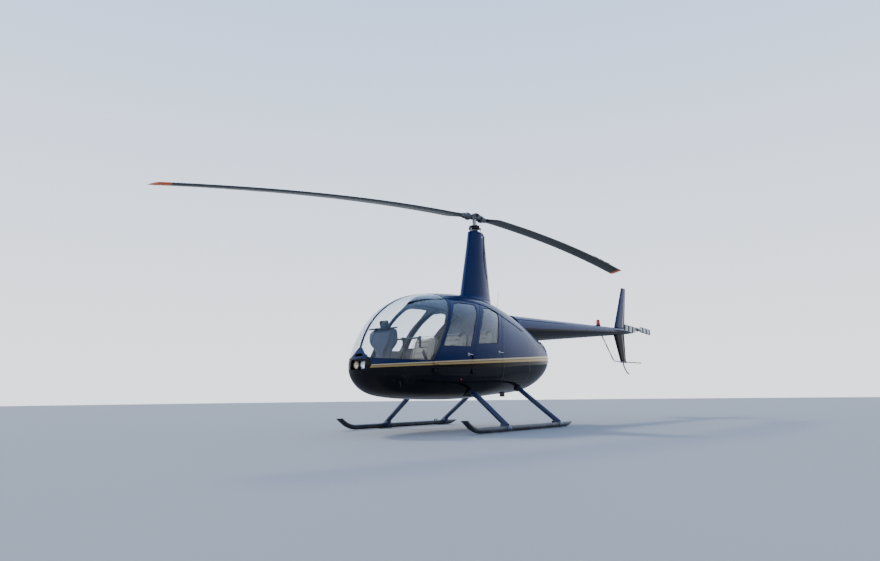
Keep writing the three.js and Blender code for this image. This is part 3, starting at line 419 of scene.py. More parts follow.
# Cabin shell: the riveted aluminium nose, belly, sills and door posts, with the bow between the
# windscreen halves. Metallic navy over gloss black, parted by two gold lines, with grey lining.
BODY_ROWS = np.array([
    # x, lowest z, highest z, half width, z of the widest line, powers above and below it
    (2.494, 0.790, 0.790, 0.000, 0.790, 2.00, 2.00),
    (2.455, 0.695, 0.890, 0.130, 0.798, 2.00, 2.00),
    (2.385, 0.590, 1.110, 0.235, 0.810, 2.00, 2.05),
    (2.210, 0.490, 1.385, 0.350, 0.820, 2.00, 2.20),
    (1.900, 0.440, 1.625, 0.510, 0.840, 2.10, 2.40),
    (1.480, 0.417, 1.785, 0.615, 0.860, 2.25, 2.60),
    (0.900, 0.408, 1.870, 0.642, 0.890, 2.40, 2.70),
    (0.300, 0.430, 1.893, 0.632, 0.920, 2.30, 2.70),
    (-0.250, 0.468, 1.835, 0.595, 0.950, 2.00, 2.50),
    (-0.800, 0.505, 1.680, 0.538, 0.980, 1.85, 2.35),
    (-1.200, 0.590, 1.530, 0.465, 1.000, 1.80, 2.20),
    (-1.480, 0.720, 1.400, 0.375, 1.030, 2.00, 2.10),
    (-1.680, 0.890, 1.250, 0.225, 1.045, 2.00, 2.00),
    (-1.755, 1.050, 1.050, 0.000, 1.050, 2.00, 2.00),
])
READINGS = 60  # between one row and the next
TINY = 1e-7
ROUND_END = 0.5  # length of skin from a pole that unrolls at its full length
AFTER_END = 0.6  # and the share of its length at which the rest unrolls


def eased_rows(rows):
    """The cubic spline through the rows with no break in its curvature.

    Each row's slope d solves d(before) + 4 d + d(after) = 3 (row after - row before). The first
    column is level at both ends, so that the poles are round; the others are straight there.
    """
    last = len(rows) - 1
    system = np.eye(last + 1) * 4 + np.eye(last + 1, k=1) + np.eye(last + 1, k=-1)
    system[0, :2] = system[last, [last, last - 1]] = 2, 1
    right = np.empty_like(rows)
    right[1:-1] = 3 * (rows[2:] - rows[:-2])
    right[0], right[-1] = 3 * (rows[1] - rows[0]), 3 * (rows[-1] - rows[-2])
    slopes = np.linalg.solve(system, right)
    level = system.copy()
    level[0], level[last] = np.eye(last + 1)[[0, last]]
    slopes[:, 0] = np.linalg.solve(level, np.r_[0, right[1:-1, 0], 0])
    number = np.linspace(0, last, last * READINGS + 1)
    whole = np.minimum(number.astype(int), last - 1)
    part = (number - whole)[:, None]
    near, far = rows[whole], rows[whole + 1]
    near_slope, far_slope = slopes[whole], slopes[whole + 1]
    eased = near + part * near_slope + part**2 * (3 * (far - near) - 2 * near_slope - far_slope)
    return number, eased + part**3 * (2 * (near - far) + near_slope + far_slope)


ROW_NUMBER, BODY_FORM = eased_rows(BODY_ROWS)
middle_height = (BODY_FORM[:, 2] + BODY_FORM[:, 1]) / 2
half_height = (BODY_FORM[:, 2] - BODY_FORM[:, 1]) / 2
spread = np.stack([BODY_FORM[:, 0], half_height, BODY_FORM[:, 3], middle_height], 1)
FROM_NOSE = np.r_[0, np.cumsum(np.linalg.norm(np.diff(spread, axis=0), axis=1))]


def flat_radius(length):
    """Distance from the pole in the flat pattern, for a length of skin from the pole."""
    return np.minimum(length, ROUND_END) + AFTER_END * np.maximum(length - ROUND_END, 0)


PATTERN = {"nose": flat_radius(FROM_NOSE), "tail": flat_radius(FROM_NOSE[-1] - FROM_NOSE)}


def body_at(row):
    """The seven columns of the body's table at any row number."""
    return [np.interp(row, ROW_NUMBER, column) for column in BODY_FORM.T]


def row_at(x):
    """The row number of a station along the body."""
    return np.interp(-x, -BODY_FORM[:, 0], ROW_NUMBER)


def half_section(rise, form):
    """The power and the height of a section's upper or lower half, whichever a rise is in."""
    _, low, high, _, wide, upper, lower = form
    above = rise >= 0
    return np.where(above, upper, lower), np.maximum(np.where(above, high - wide, wide - low), TINY)


def outness(y, z, form):
    """Where places lie in a section: below 1 inside its superellipse, above 1 outside."""
    rise = z - form[4]
    power, tall = half_section(rise, form)
    return (np.abs(y) / np.maximum(form[3], TINY)) ** power + (np.abs(rise) / tall) ** power


def skin(row, angle):
    """The outer surface at a row number and an angle, 0 at the left side and a quarter turn on top.

    Each section is a superellipse in polar form: 1 / radius^p = (cos / half)^p + (sin / tall)^p,
    measured from its widest line, with one power and one height above it and others below.
    """
    form = body_at(row)
    across, rise = np.cos(angle), np.sin(angle)
    power, tall = half_section(rise, form)
    total = (np.abs(across) / np.maximum(form[3], TINY)) ** power + (np.abs(rise) / tall) ** power
    radius = total ** (-1 / power)
    return np.stack([form[0], radius * across, form[4] + radius * rise], -1)


def flat_pattern(row, angle, pole):
    """The skin unrolled round a pole: distance from the pole, at the same angle."""
    radius = np.interp(row, ROW_NUMBER, PATTERN[pole])
    return np.stack([radius * np.cos(angle), radius * np.sin(angle)], -1)


def from_pattern(flat, pole):
    """The point of the skin that a point of the flat pattern stands for."""
    order = 1 if pole == "nose" else -1
    radius = np.hypot(flat[..., 0], flat[..., 1])
    row = np.interp(radius, PATTERN[pole][::order], ROW_NUMBER[::order])
    return skin(row, np.arctan2(flat[..., 1], flat[..., 0]))


def skin_slopes(flat, pole, step=2e-4):
    """How the skin moves with each way across the pattern, and its outward unit normal."""
    ways = [np.array([step, 0]), np.array([0, step])]
    slopes = [(from_pattern(flat + w, pole) - from_pattern(flat - w, pole)) / (2 * step)
              for w in ways]
    normal = np.cross(*slopes) * (1 if pole == "nose" else -1)
    return slopes, unit(normal)


def on_skin(flat, pole, depth=0.0):
    """Points of the pattern on the skin, or a depth inside it along its normal."""
    return from_pattern(flat, pole) - depth * skin_slopes(flat, pole)[1]


def rounded_corners(corners, steps=5):
    """Corners (u, v, radius) as a closed line, each radius a parabola between its two sides."""
    spots = np.array([corner[:2] for corner in corners], float)
    line = []
    share = np.linspace(0, 1, steps + 1)[:, None]
    around = zip(corners, np.roll(spots, 1, 0), spots, np.roll(spots, -1, 0))
    for corner, before, here, after in around:
        radius = corner[2] if len(corner) > 2 else 0
        line.append(parabola(before, here, after, radius, share) if radius else here[None])
    return np.concatenate(line)


def stepped(line, step=0.012, closed=True):
    """A line with points no further apart than a step."""
    ends = np.roll(line, -1, 0) if closed else line[1:]
    pieces = []
    for start, end in zip(line, ends):
        count = max(1, int(np.ceil(np.linalg.norm(end - start) / step)))
        pieces.append(start + (end - start) * np.linspace(0, 1, count, endpoint=False)[:, None])
    return np.concatenate(pieces if closed else pieces + [line[-1:]])


def from_side(spots):
    """(row, angle) of places (x, z) seen from the left."""
    x, z = np.asarray(spots, float).T[:2]
    row = row_at(x)
    form = body_at(row)
    rise = z - form[4]
    power, tall = half_section(rise, form)
    share = np.clip(np.abs(rise) / tall, 0, 1)
    return np.stack([row, np.arctan2(rise, form[3] * (1 - share**power) ** (1 / power))], -1)


def from_above(spots, under=False):
    """(row, angle) of places (x, y) seen from above, or from below."""
    x, y = np.asarray(spots, float).T[:2]
    row = row_at(x)
    _, low, high, half, wide, upper, lower = body_at(row)
    power, tall = (lower, low - wide) if under else (upper, high - wide)
    share = np.clip(np.abs(y) / half, 0, 1)
    return np.stack([row, np.arctan2(tall * (1 - share**power) ** (1 / power), y)], -1)


def from_front(spots):
    """(row, angle) of places (y, z) seen from the nose, where a section first reaches them."""
    y, z = np.asarray(spots, float).T[:2]
    over = outness(y, z, [column[1:, None] for column in BODY_FORM.T])
    first = np.argmax(over < 1, axis=0)
    spot = np.arange(len(y))
    outer, inner = over[first - 1, spot], over[first, spot]
    row = ROW_NUMBER[first] + (ROW_NUMBER[1] - ROW_NUMBER[0]) * (outer - 1) / (outer - inner)
    return np.stack([row, np.arctan2(z - body_at(row)[4], y)], -1)


def pattern_of(places, pole="nose", sign=1):
    """(row, angle) places on the flat pattern, on the left side or mirrored to the right."""
    row, angle = places.T
    return flat_pattern(row, angle if sign > 0 else np.pi - angle, pole)


def side_outline(corners, pole="nose", sign=1):
    """A closed outline of (x, z, radius) corners seen from the side, on the flat pattern."""
    return pattern_of(from_side(stepped(rounded_corners(corners))), pole, sign)


def turning(loop):
    """1 for a loop that runs anticlockwise and -1 for a clockwise one: the sign of its area."""
    u, v = loop.T
    return np.sign(np.sum(u * np.roll(v, -1) - v * np.roll(u, -1)))


def widened(loop, distance, pole="nose"):
    """A loop moved outwards along the skin by a distance, or inwards if it is negative."""
    (east, north), normal = skin_slopes(loop, pole)
    step = np.roll(loop, -1, 0) - np.roll(loop, 1, 0)
    along = east * step[:, :1] + north * step[:, 1:]
    out = np.cross(along, normal) * turning(loop) * (1 if pole == "nose" else -1)
    out *= distance / np.linalg.norm(out, axis=1)[:, None]
    ee, nn, en = (np.sum(a * b, 1) for a, b in ((east, east), (north, north), (east, north)))
    oe, on = np.sum(out * east, 1), np.sum(out * north, 1)
    shift = np.stack([oe * nn - on * en, on * ee - oe * en], 1) / (ee * nn - en**2)[:, None]
    return loop + shift


def inside_loop(points, loop):
    """True where a point lies inside a loop: a line from it crosses the loop an odd time."""
    start, end = loop, np.roll(loop, -1, 0)
    rise = np.where(end[:, 1] == start[:, 1], 1, end[:, 1] - start[:, 1])
    odd = np.zeros(len(points), bool)
    for part in np.array_split(np.arange(len(points)), max(1, len(points) // 4000)):
        u, v = points[part].T[:, :, None]
        spans = (start[:, 1] > v) != (end[:, 1] > v)
        crossing = start[:, 0] + (v - start[:, 1]) * (end[:, 0] - start[:, 0]) / rise
        odd[part] = np.sum(spans & (u < crossing), 1) % 2 == 1
    return odd


def within(points, loops):
    """True where a point lies inside the first loop and outside the others, its holes."""
    kept = inside_loop(points, loops[0])
    for hole in loops[1:]:
        kept &= ~inside_loop(points, hole)
    return kept


def clear_of(points, loops, distance):
    """True where a point is further than a distance from every loop's own points."""
    clear = np.ones(len(points), bool)
    loop = np.concatenate(loops)
    for part in np.array_split(np.arange(len(points)), max(1, len(points) // 2000)):
        gap = np.linalg.norm(points[part, None] - loop[None], axis=2)
        clear[part] = gap.min(1) > distance
    return clear


def cut_sheet(loops, cell):
    """The flat pattern between loops as triangles: a staggered lattice joined to the loops."""
    low, high = np.min(loops[0], 0), np.max(loops[0], 0)
    row_step = cell * np.sqrt(3) / 2
    across, up = np.arange(low[0], high[0], cell), np.arange(low[1], high[1], row_step)
    u, v = np.meshgrid(across, up)
    u = u + cell / 2 * (np.arange(len(up)) % 2)[:, None]
    fill = np.stack([u.ravel(), v.ravel()], 1)
    fill = fill[within(fill, loops)]
    if len(fill):
        fill = fill[clear_of(fill, loops, cell * 0.6)]
    edges, start = [], 0
    for loop in loops:
        number = np.arange(len(loop))
        edges.append(np.stack([number, np.roll(number, -1)], 1) + start)
        start += len(loop)
    corners = [Vector(p) for p in np.concatenate([*loops, fill])]
    made = geometry.delaunay_2d_cdt(corners, np.concatenate(edges).tolist(), [], 0, 1e-7)
    flat = np.array([v[:] for v in made[0]])
    triangles = np.array(made[2])
    triangles = triangles[within(flat[triangles].mean(1), loops)]
    used, numbers = np.unique(triangles, return_inverse=True)
    return flat[used], numbers.reshape(-1, 3)


def panel(name, loops, thickness, material, body="airframe", pole="nose", depth=0.0,
          cell=0.02, edge=0.0012, stands_for=()):
    """A skin panel: the pattern between loops on the body, thickened inwards, edges eased."""
    flat, triangles = cut_sheet(loops, cell)
    points = on_skin(flat, pole, depth)
    order = 1 if pole == "nose" else -1
    obj = put_mesh(name, (points, triangles[:, ::order]), material, stands_for, body=body)
    wall = obj.modifiers.new("wall", "SOLIDIFY")
    wall.thickness = thickness
    wall.offset = -1
    wall.use_even_offset = True
    if isinstance(material, (list, tuple)):
        wall.material_offset = 1
    if edge:
        ease = obj.modifiers.new("eased_edges", "BEVEL")
        ease.width = edge
        ease.segments = 2
        ease.limit_method = "ANGLE"
        ease.angle_limit = np.radians(50)
        ease.harden_normals = True
    return obj


# The gold band: height at the mast and slope of its upper and lower line, then the paints.
LINE_TOP, LINE_TOP_SLOPE = 0.985, -0.0637
LINE_LOW, LINE_LOW_SLOPE = 0.922, -0.0533
NAVY = (0.0045, 0.016, 0.075)
GLOSS_BLACK = (0.003, 0.003, 0.004)
GOLD = (0.50, 0.33, 0.13)
PALE_GOLD = (0.62, 0.50, 0.30)
GROOVE = (0.05, 0.045, 0.03)


def livery_group():
    """Navy above a rising line, black below another, and gold, dark and pale bands between."""
    tree, given, out = node_group(
        "livery",
        [("Top", "Float", LINE_TOP), ("Top slope", "Float", LINE_TOP_SLOPE),
         ("Low", "Float", LINE_LOW), ("Low slope", "Float", LINE_LOW_SLOPE)],
        [("Colour", "Color", None), ("Metallic", "Float", None)],
    )
    parted = add_node(tree, "SeparateXYZ", {0: object_place(tree)})
    along = maths(tree, "SUBTRACT", parted.outputs[0], MAST_X)
    top = maths(tree, "MULTIPLY_ADD", along, given.outputs[1], given.outputs[0])
    low = maths(tree, "MULTIPLY_ADD", along, given.outputs[3], given.outputs[2])
    over = maths(tree, "SUBTRACT", parted.outputs[2], low)
    between = maths(tree, "MAXIMUM", maths(tree, "SUBTRACT", top, low), 1e-4)
    share = maths(tree, "DIVIDE", over, between)
    flakes = add_node(tree, "TexVoronoi", {"Vector": object_place(tree), "Scale": 900.0})
    spark = maths(tree, "MULTIPLY", rising(tree, flakes.outputs["Color"], 0.55, 0.95), 0.6)
    navy = blend_colours(tree, spark, NAVY, (0.02, 0.05, 0.19))
    colour = GLOSS_BLACK
    for edge, band in ((0.0, GOLD), (0.50, GROOVE), (0.62, PALE_GOLD), (1.0, navy)):
        colour = blend_colours(tree, maths(tree, "GREATER_THAN", share, edge), colour, band)
    tree.links.new(colour, out.inputs["Colour"])
    metal = maths(tree, "GREATER_THAN", share, 0.0)
    tree.links.new(maths(tree, "MULTIPLY", metal, 0.35), out.inputs["Metallic"])
    return tree


LIVERY = livery_group()


def livery_paint(name, **lines):
    """Clear-coated livery paint: the bands' colours, a little dust low down, orange peel."""
    def colours(tree):
        """The bands' colour, from the shared group."""
        return use_group(tree, LIVERY, **lines).outputs["Colour"]
    paint = finish_of(name, NAVY, 0.30, bump=0.012, dust=0.03, dusty_height=0.9, grain=160.0,
                      colour_from=colours, Coat_Weight=0.55, Coat_Roughness=0.025, Coat_IOR=1.4,
                      Specular_IOR_Level=0.0)
    tree = paint.node_tree
    bands = next(n for n in tree.nodes if n.type == "GROUP" and n.node_tree == LIVERY)
    tree.links.new(bands.outputs["Metallic"], tree.nodes["Principled BSDF"].inputs["Metallic"])
    return paint


BODY_PAINT = livery_paint("body_paint")
LINING = finish_of("cabin_lining", (0.17, 0.18, 0.22), 0.85, bump=0.5, dust=0.0, grain=900.0,
                   Sheen_Weight=0.3)

FRONT_DOOR = [
    (1.690, 0.700, 0.060), (1.692, 0.800), (1.687, 0.892), (1.604, 1.018), (1.531, 1.145),
    (1.436, 1.281), (1.350, 1.416), (1.258, 1.558), (1.163, 1.690), (1.122, 1.738, 0.025),
    (0.800, 1.762), (0.462, 1.757, 0.020), (0.542, 1.680), (0.677, 1.545), (0.812, 1.360),
    (0.907, 1.186), (0.987, 1.019), (1.025, 0.914), (1.032, 0.840), (1.032, 0.700, 0.040),
]
REAR_DOOR = [
    (0.988, 0.700, 0.040), (0.988, 0.840), (0.981, 0.914), (0.943, 1.019), (0.863, 1.186),
    (0.768, 1.360), (0.633, 1.545), (0.498, 1.680), (0.420, 1.755, 0.020), (0.150, 1.724),
    (-0.066, 1.670, 0.025), (0.132, 1.451), (0.241, 1.222), (0.278, 0.971), (0.280, 0.840),
    (0.270, 0.700, 0.080),
]
DOORS = {"front": FRONT_DOOR, "rear": REAR_DOOR}
# The windscreen's edge: its sill seen from the front as (y, z), its post seen from the side as
# (x, z), and its top and the edge beside the bow seen from above as (x, y).
SCREEN_SILL = [(0.011, 1.046), (0.081, 0.970), (0.142, 0.915), (0.262, 0.899), (0.393, 0.896),
               (0.510, 0.889)]
SCREEN_POST = [(1.722, 0.892), (1.639, 1.018), (1.566, 1.145), (1.471, 1.281), (1.385, 1.416),
               (1.293, 1.558), (1.208, 1.668), (1.190, 1.715)]
SCREEN_TOP = [(1.195, 0.300), (1.200, 0.150), (1.205, 0.011)]
BOW_HALF = 0.011
ROOF_EDGE = [(1.190, 1.746), (0.800, 1.768), (0.450, 1.763), (0.150, 1.731), (-0.081, 1.680),
             (-0.330, 1.493), (-0.450, 1.443)]
ENGINE_EDGE = [(-0.117, 1.653), (0.096, 1.451), (0.205, 1.222), (0.242, 0.971), (0.244, 0.840),
               (0.244, 0.640)]
LIGHT_BOX = [(-0.124, 0.768, 0.03), (0.124, 0.768, 0.03), (0.124, 0.896, 0.03),
             (-0.124, 0.896, 0.03)]
INLET_HALF, INLET_LOW, INLET_RISE = 0.074, 0.931, 0.041  # a half ellipse on its flat side
DOOR_GAP = 0.005
PANEL_GAP = 0.0012
SKIN = 0.012


def open_line(spots, step=0.012):
    """An open line through spots, its corners cut and its points no further apart than a step."""
    return stepped(smoothed(np.array(spots)), step, closed=False)


def smoothed(line, times=2):
    """A line whose corners are cut: each side keeps its middle half, twice over."""
    for _ in range(times):
        near, far = line[:-1], line[1:]
        cut = np.stack([0.75 * near + 0.25 * far, 0.25 * near + 0.75 * far], 1)
        line = np.concatenate([line[:1], cut.reshape(-1, line.shape[1]), line[-1:]])
    return line


def screen_outline(sign):
    """The whole edge of one windscreen half on the nose's flat pattern."""
    sill = pattern_of(from_front(open_line(SCREEN_SILL)))
    post = pattern_of(from_side(open_line(SCREEN_POST)))
    top = pattern_of(from_above(stepped(np.array(SCREEN_TOP), closed=False)))
    nose_x = float(np.interp(SCREEN_SILL[0][1], BODY_FORM[:200, 2], BODY_FORM[:200, 0]))
    share = np.linspace(0, 1, 120)[1:-1]
    bow_x = SCREEN_TOP[-1][0] + (nose_x - SCREEN_TOP[-1][0]) * np.sin(share * np.pi / 2)
    bow = pattern_of(from_above(np.stack([bow_x, np.full(len(bow_x), BOW_HALF)], 1)))
    loop = np.concatenate([sill, post, top, bow])
    return loop if sign > 0 else (loop * (-1, 1))[::-1]


def band_round(edge, above):
    """(row, angle) points across the top or the bottom, from a side edge's end to its mirror."""
    row, angle = edge
    far = np.pi - angle if above else -np.pi - angle
    turn = np.linspace(angle, far, 60)[1:-1]
    return np.stack([np.full(len(turn), row), turn], 1)


def ring_loop(side_line, pole="nose"):
    """A loop right round the body from a line up its left side: over the top, down the right."""
    left = from_side(stepped(np.array(side_line, float)[:, :2], closed=False))
    over = band_round(left[-1], True)
    right = np.stack([left[::-1, 0], np.pi - left[::-1, 1]], 1)
    under = band_round(left[0], False)[::-1]
    under[:, 1] += 2 * np.pi
    return pattern_of(np.concatenate([left, over, right, under]), pole)


screens = {sign: screen_outline(sign) for sign in (1, -1)}
door_loops = {(name, sign): side_outline(corners, sign=sign)
              for name, corners in DOORS.items() for sign in (1, -1)}
shell_edge = ring_loop([*ENGINE_EDGE[::-1], *ROOF_EDGE[4::-1]])
light_hole = pattern_of(from_front(stepped(rounded_corners(LIGHT_BOX))))
arch = np.linspace(0, np.pi, 25)
arch = np.stack([INLET_HALF * np.cos(arch), INLET_LOW + INLET_RISE * np.sin(arch)], 1)
inlet_hole = pattern_of(from_front(stepped(arch)))
shell_loops = [widened(shell_edge, -PANEL_GAP), light_hole, inlet_hole]
shell_loops += [widened(loop, DOOR_GAP) for loop in door_loops.values()]
shell_loops += [widened(loop, PANEL_GAP) for loop in screens.values()]
panel("cabin_skin", shell_loops, SKIN, [BODY_PAINT, LINING], cell=0.016,
      stands_for=["cabin_shell"])


# Windscreen: two blown acrylic halves, each bedded in a black rubber strip that laps its edge, and
# bolted to the sill, the door posts and the bow between them.
CLEAR_EDGE = 0.0015
SCREEN_THICK = 0.005
STRIP_LAP = 0.0045  # how far a rubber strip laps the clear face
ACRYLIC_IOR = 1.49
PANE_EDGE = 0.0006  # eased under the strip, so the clear faces keep their own normals


def glass_of(name, tint, roughness=0.0):
    """Clear acrylic that lets light through: shadow rays meet a plain clear shader."""
    material, tree, shader = new_material(name, tint, 0.3)
    smears = rising(tree, noise(tree, object_place(tree), 9.0, 6.0, 0.6), 0.45, 0.8)
    rough = maths(tree, "MULTIPLY_ADD", smears, 0.03, roughness)
    for key, value in (("Base Color", (*tint, 1)), ("Roughness", rough),
                       ("Transmission Weight", 1.0), ("IOR", ACRYLIC_IOR)):
        feed(tree, shader.inputs[key], value)
    through = add_node(tree, "BsdfTransparent", {"Color": (*tint, 1)})
    rays = add_node(tree, "LightPath")
    sources = rays.outputs["Is Shadow Ray"], shader.outputs[0], through.outputs[0]
    mixed = add_node(tree, "MixShader", dict(enumerate(sources)))
    feed(tree, tree.nodes["Material Output"].inputs["Surface"], mixed.outputs[0])
    return material


SCREEN_GLASS = glass_of("screen_acrylic", (0.93, 0.96, 0.97))
WINDOW_GLASS = glass_of("window_acrylic", (0.80, 0.85, 0.90))
for side, sign in SIDES:
    edge = screens[sign]
    panel("windscreen_pane_" + side, [widened(edge, -CLEAR_EDGE)], SCREEN_THICK, SCREEN_GLASS,
          depth=0.001, edge=PANE_EDGE, stands_for=["windscreen_" + side])
    panel("windscreen_strip_" + side, [widened(edge, 0.0025), widened(edge, -STRIP_LAP)], 0.003,
          BLACK_RUBBER, depth=-0.0025, edge=0.001)


# Doors: pressed aluminium skins on a frame, trimmed inside with grey panels, each with a bonded
# acrylic window, a latch lever near its rear edge and two exposed hinges on its front edge.
FRONT_WINDOW = [
    (1.545, 1.075, 0.025), (1.471, 1.208), (1.349, 1.382), (1.217, 1.556), (1.110, 1.668, 0.025),
    (1.000, 1.698, 0.020), (0.825, 1.706), (0.640, 1.706, 0.025), (0.687, 1.587), (0.845, 1.393),
    (0.942, 1.221), (1.018, 1.090, 0.025),
]
REAR_WINDOW = [
    (0.842, 1.138, 0.020), (0.767, 1.298), (0.608, 1.514), (0.462, 1.666, 0.025), (0.297, 1.694),
    (0.150, 1.672), (0.066, 1.640, 0.020), (0.114, 1.588), (0.278, 1.368), (0.352, 1.172, 0.025),
]
WINDOWS = {"front": FRONT_WINDOW, "rear": REAR_WINDOW}
# x and z of each hinge pin's middle, and x of the door's edge beside it, lowest hinge first.
HINGES = {
    "front": [(1.714, 0.765, 1.691), (1.705, 0.862, 1.689)],
    "rear": [(1.009, 0.760, 0.988), (0.989, 0.960, 0.966)],
}
HINGE_REACH = {"front": 0.026, "rear": 0.008}
HINGE_STANDOFF = 0.013
ARM_HALF, ARM_LAP = 0.004, 0.040  # half an arm's height, and how far it lies on the door
SLEEVE, SLEEVE_RADIUS, PIN_RADIUS, HINGE_PLAY = 0.036, 0.0105, 0.006, 0.0025
LATCHES = {"front": (1.075, 0.985), "rear": (0.345, 1.045)}
DOOR_SKIN, DOOR_TRIM, TRIM_INSET, TRIM_CLEAR = 0.012, 0.008, 0.028, 0.012
PANE_LAP, PANE_DEEP, PANE_THICK = 0.006, 0.0065, 0.004
JAMB_OUT, JAMB_IN, JAMB_DEEP, JAMB_THICK = 0.016, 0.014, 0.0165, 0.004
TRIM_GREY = finish_of("door_trim", (0.20, 0.205, 0.225), 0.8, bump=0.5, dust=0.0, grain=700.0)
JAMB_RUBBER = finish_of("jamb_rubber", (0.012, 0.012, 0.014), 0.6, bump=0.2, dust=0.1)


def hinge_line(name):
    """The two hinge pins' middles on the left side, and the unit vector up through them."""
    spots = np.array(HINGES[name])
    row, angle = from_side(spots[:, [2, 1]]).T
    y = skin(row, angle)[:, 1] + HINGE_STANDOFF
    middles = np.stack([spots[:, 0], y, spots[:, 1]], 1)
    up = middles[1] - middles[0]
    return middles, unit(up)


def latch_form(x, z):
    """A lever on a round escutcheon, standing off the skin at a place on the left side."""
    row, angle = from_side([(x, z)]).T
    foot = skin(row, angle)[0]
    plate = lathe([(-0.004, 0.021), (0.002, 0.021), (0.004, 0.018)], foot, "y", 32)
    boss = lathe([(0.0, 0.010), (0.014, 0.009), (0.016, 0.007)], foot, "y", 24)
    spots = foot + [(0.006, 0.012, 0), (-0.04, 0.0135, 0.001), (-0.085, 0.013, 0)]
    lever = rod(spots, (0.008, 0.0075, 0.006), 20, rounded=0.003, flat=0.55)
    return together([plate, boss, lever])


def mirrored(form):
    """The same form on the right side: y changes its sign and each face turns round."""
    points, faces = form
    return np.asarray(points) * (1, -1, 1), [f[::-1] for f in faces]


def on_side(form, sign):
    """A form made for the left side, kept there by a positive sign and else mirrored."""
    return form if sign > 0 else mirrored(form)


for name, corners in DOORS.items():
    middles, up = hinge_line(name)
    half = SLEEVE / 2
    arms, sleeves, feet = [], [], []
    for middle, (_, _, door_x) in zip(middles, HINGES[name]):
        pin_end = up * (half + 0.012)
        arms.append(rod([middle - pin_end, middle + pin_end], PIN_RADIUS, 20, rounded=0.002))
        sleeves.append(rod([middle - up * half, middle + up * half], SLEEVE_RADIUS, 28,
                           rounded=0.002))
        feet.append(slab(middle - (0.004, 0.030, half - 0.002),
                         middle + (HINGE_REACH[name], 0.000, half - 0.002), 0.002))
        for way in (-1, 1):
            z = middle[2] + way * (half + HINGE_PLAY + ARM_HALF)
            for inner, front in ((0.007, middle[0] + 0.004), (0.023, door_x - 0.012)):
                arms.append(slab((door_x - ARM_LAP, middle[1] - inner, z - ARM_HALF),
                                 (front, middle[1] + 0.006, z + ARM_HALF), 0.0015))
    latch = latch_form(*LATCHES[name])
    for side, sign in SIDES:
        body = f"{name}_{side}_door"
        outline = door_loops[name, sign]
        opening = side_outline(WINDOWS[name], sign=sign)
        trim_loops = [widened(outline, -TRIM_INSET), widened(opening, TRIM_CLEAR)]
        panel(f"door_skin_{name}_{side}", [outline, opening], DOOR_SKIN, [BODY_PAINT, TRIM_GREY],
              body=body, stands_for=[f"door_{name}_{side}"])
        panel(f"door_trim_{name}_{side}", trim_loops, DOOR_TRIM, TRIM_GREY, body=body,
              depth=DOOR_SKIN + 0.0005, edge=0.003)
        panel(f"window_pane_{name}_{side}", [widened(opening, PANE_LAP)], PANE_THICK, WINDOW_GLASS,
              body=body, depth=PANE_DEEP, edge=PANE_EDGE,
              stands_for=[f"door_window_{name}_{side}"])
        panel(f"window_strip_{name}_{side}",
              [widened(opening, 0.001), widened(opening, -STRIP_LAP)], 0.005, BLACK_RUBBER,
              body=body, depth=0.0006, edge=0.001)
        panel(f"door_jamb_{name}_{side}", [widened(outline, JAMB_OUT), widened(outline, -JAMB_IN)],
              JAMB_THICK, JAMB_RUBBER, depth=JAMB_DEEP, edge=0.001)
        put_mesh(f"hinge_arms_{name}_{side}", on_side(together(arms), sign), BODY_PAINT,
                 body=body)
        put_mesh(f"hinge_sleeves_{name}_{side}", on_side(together(sleeves + feet), sign),
                 BODY_PAINT)
        put_mesh(f"latch_{name}_{side}", on_side(latch, sign), BARE_STEEL, body=body)


# The cabin's inner frame: box posts and rails behind the skin, round the doors and the glass.
FRAME_THICK = 0.022
frame_loops = [widened(shell_edge, -0.012), widened(light_hole, 0.09)]
frame_loops += [widened(loop, 0.020) for loop in door_loops.values()]
frame_loops += [widened(loop, 0.012) for loop in screens.values()]
panel("cabin_inner_frame", frame_loops, FRAME_THICK, LINING, depth=SKIN + 0.009,
      cell=0.03, edge=0.004)

# Inside each windscreen half a thick black seal runs up the door post and along the header.
SEAL_BLACK = finish_of("seal_black", (0.004, 0.004, 0.005), 0.8, bump=0.1, dust=0.0,
                       Specular_IOR_Level=0.1)
SEAL_DEEP, SEAL_RADIUS = 0.036, 0.018
seals = []
for sign in (1, -1):
    post = from_side(open_line(SCREEN_POST, 0.02))
    header = from_above(stepped(np.array(SCREEN_TOP), 0.02, closed=False))
    line = pattern_of(np.concatenate([post, header[1:]]), "nose", sign)
    seals.append(rod(on_skin(line, "nose", SEAL_DEEP), SEAL_RADIUS, 20, rounded=0.004))
put_mesh("windscreen_inner_seals", seals, SEAL_BLACK)


# Roof, engine cowls and belly: thin painted skins, screwed along their edges, with the boom coming
# out of the rear one. A drip rail runs over the doors.
COWL_REAR = [(-0.592, 0.640), (-0.602, 0.949), (-0.592, 1.021), (-0.663, 1.207), (-0.732, 1.342)]
COWL_SKIN = 0.006
BELLY_EDGE = 0.640
BOOM_LINE, BOOM_SLOPE = 1.45212, -0.0624
BOOM_RADIUS, BOOM_TAPER = 0.25196, 0.0333
BOOM_START, BOOM_END = -0.88, -5.745


def boom_ring(x, extra=0.0, sides=72):
    """The boom's circle at a station, or an array of them."""
    x = np.atleast_1d(np.asarray(x, float))
    turn = full_turn(sides)
    radius = (BOOM_RADIUS + BOOM_TAPER * x)[:, None] + extra
    ring = [np.broadcast_to(x[:, None], (len(x), sides)), radius * np.cos(turn),
            (BOOM_LINE + BOOM_SLOPE * x)[:, None] + radius * np.sin(turn)]
    return np.stack(ring, -1)


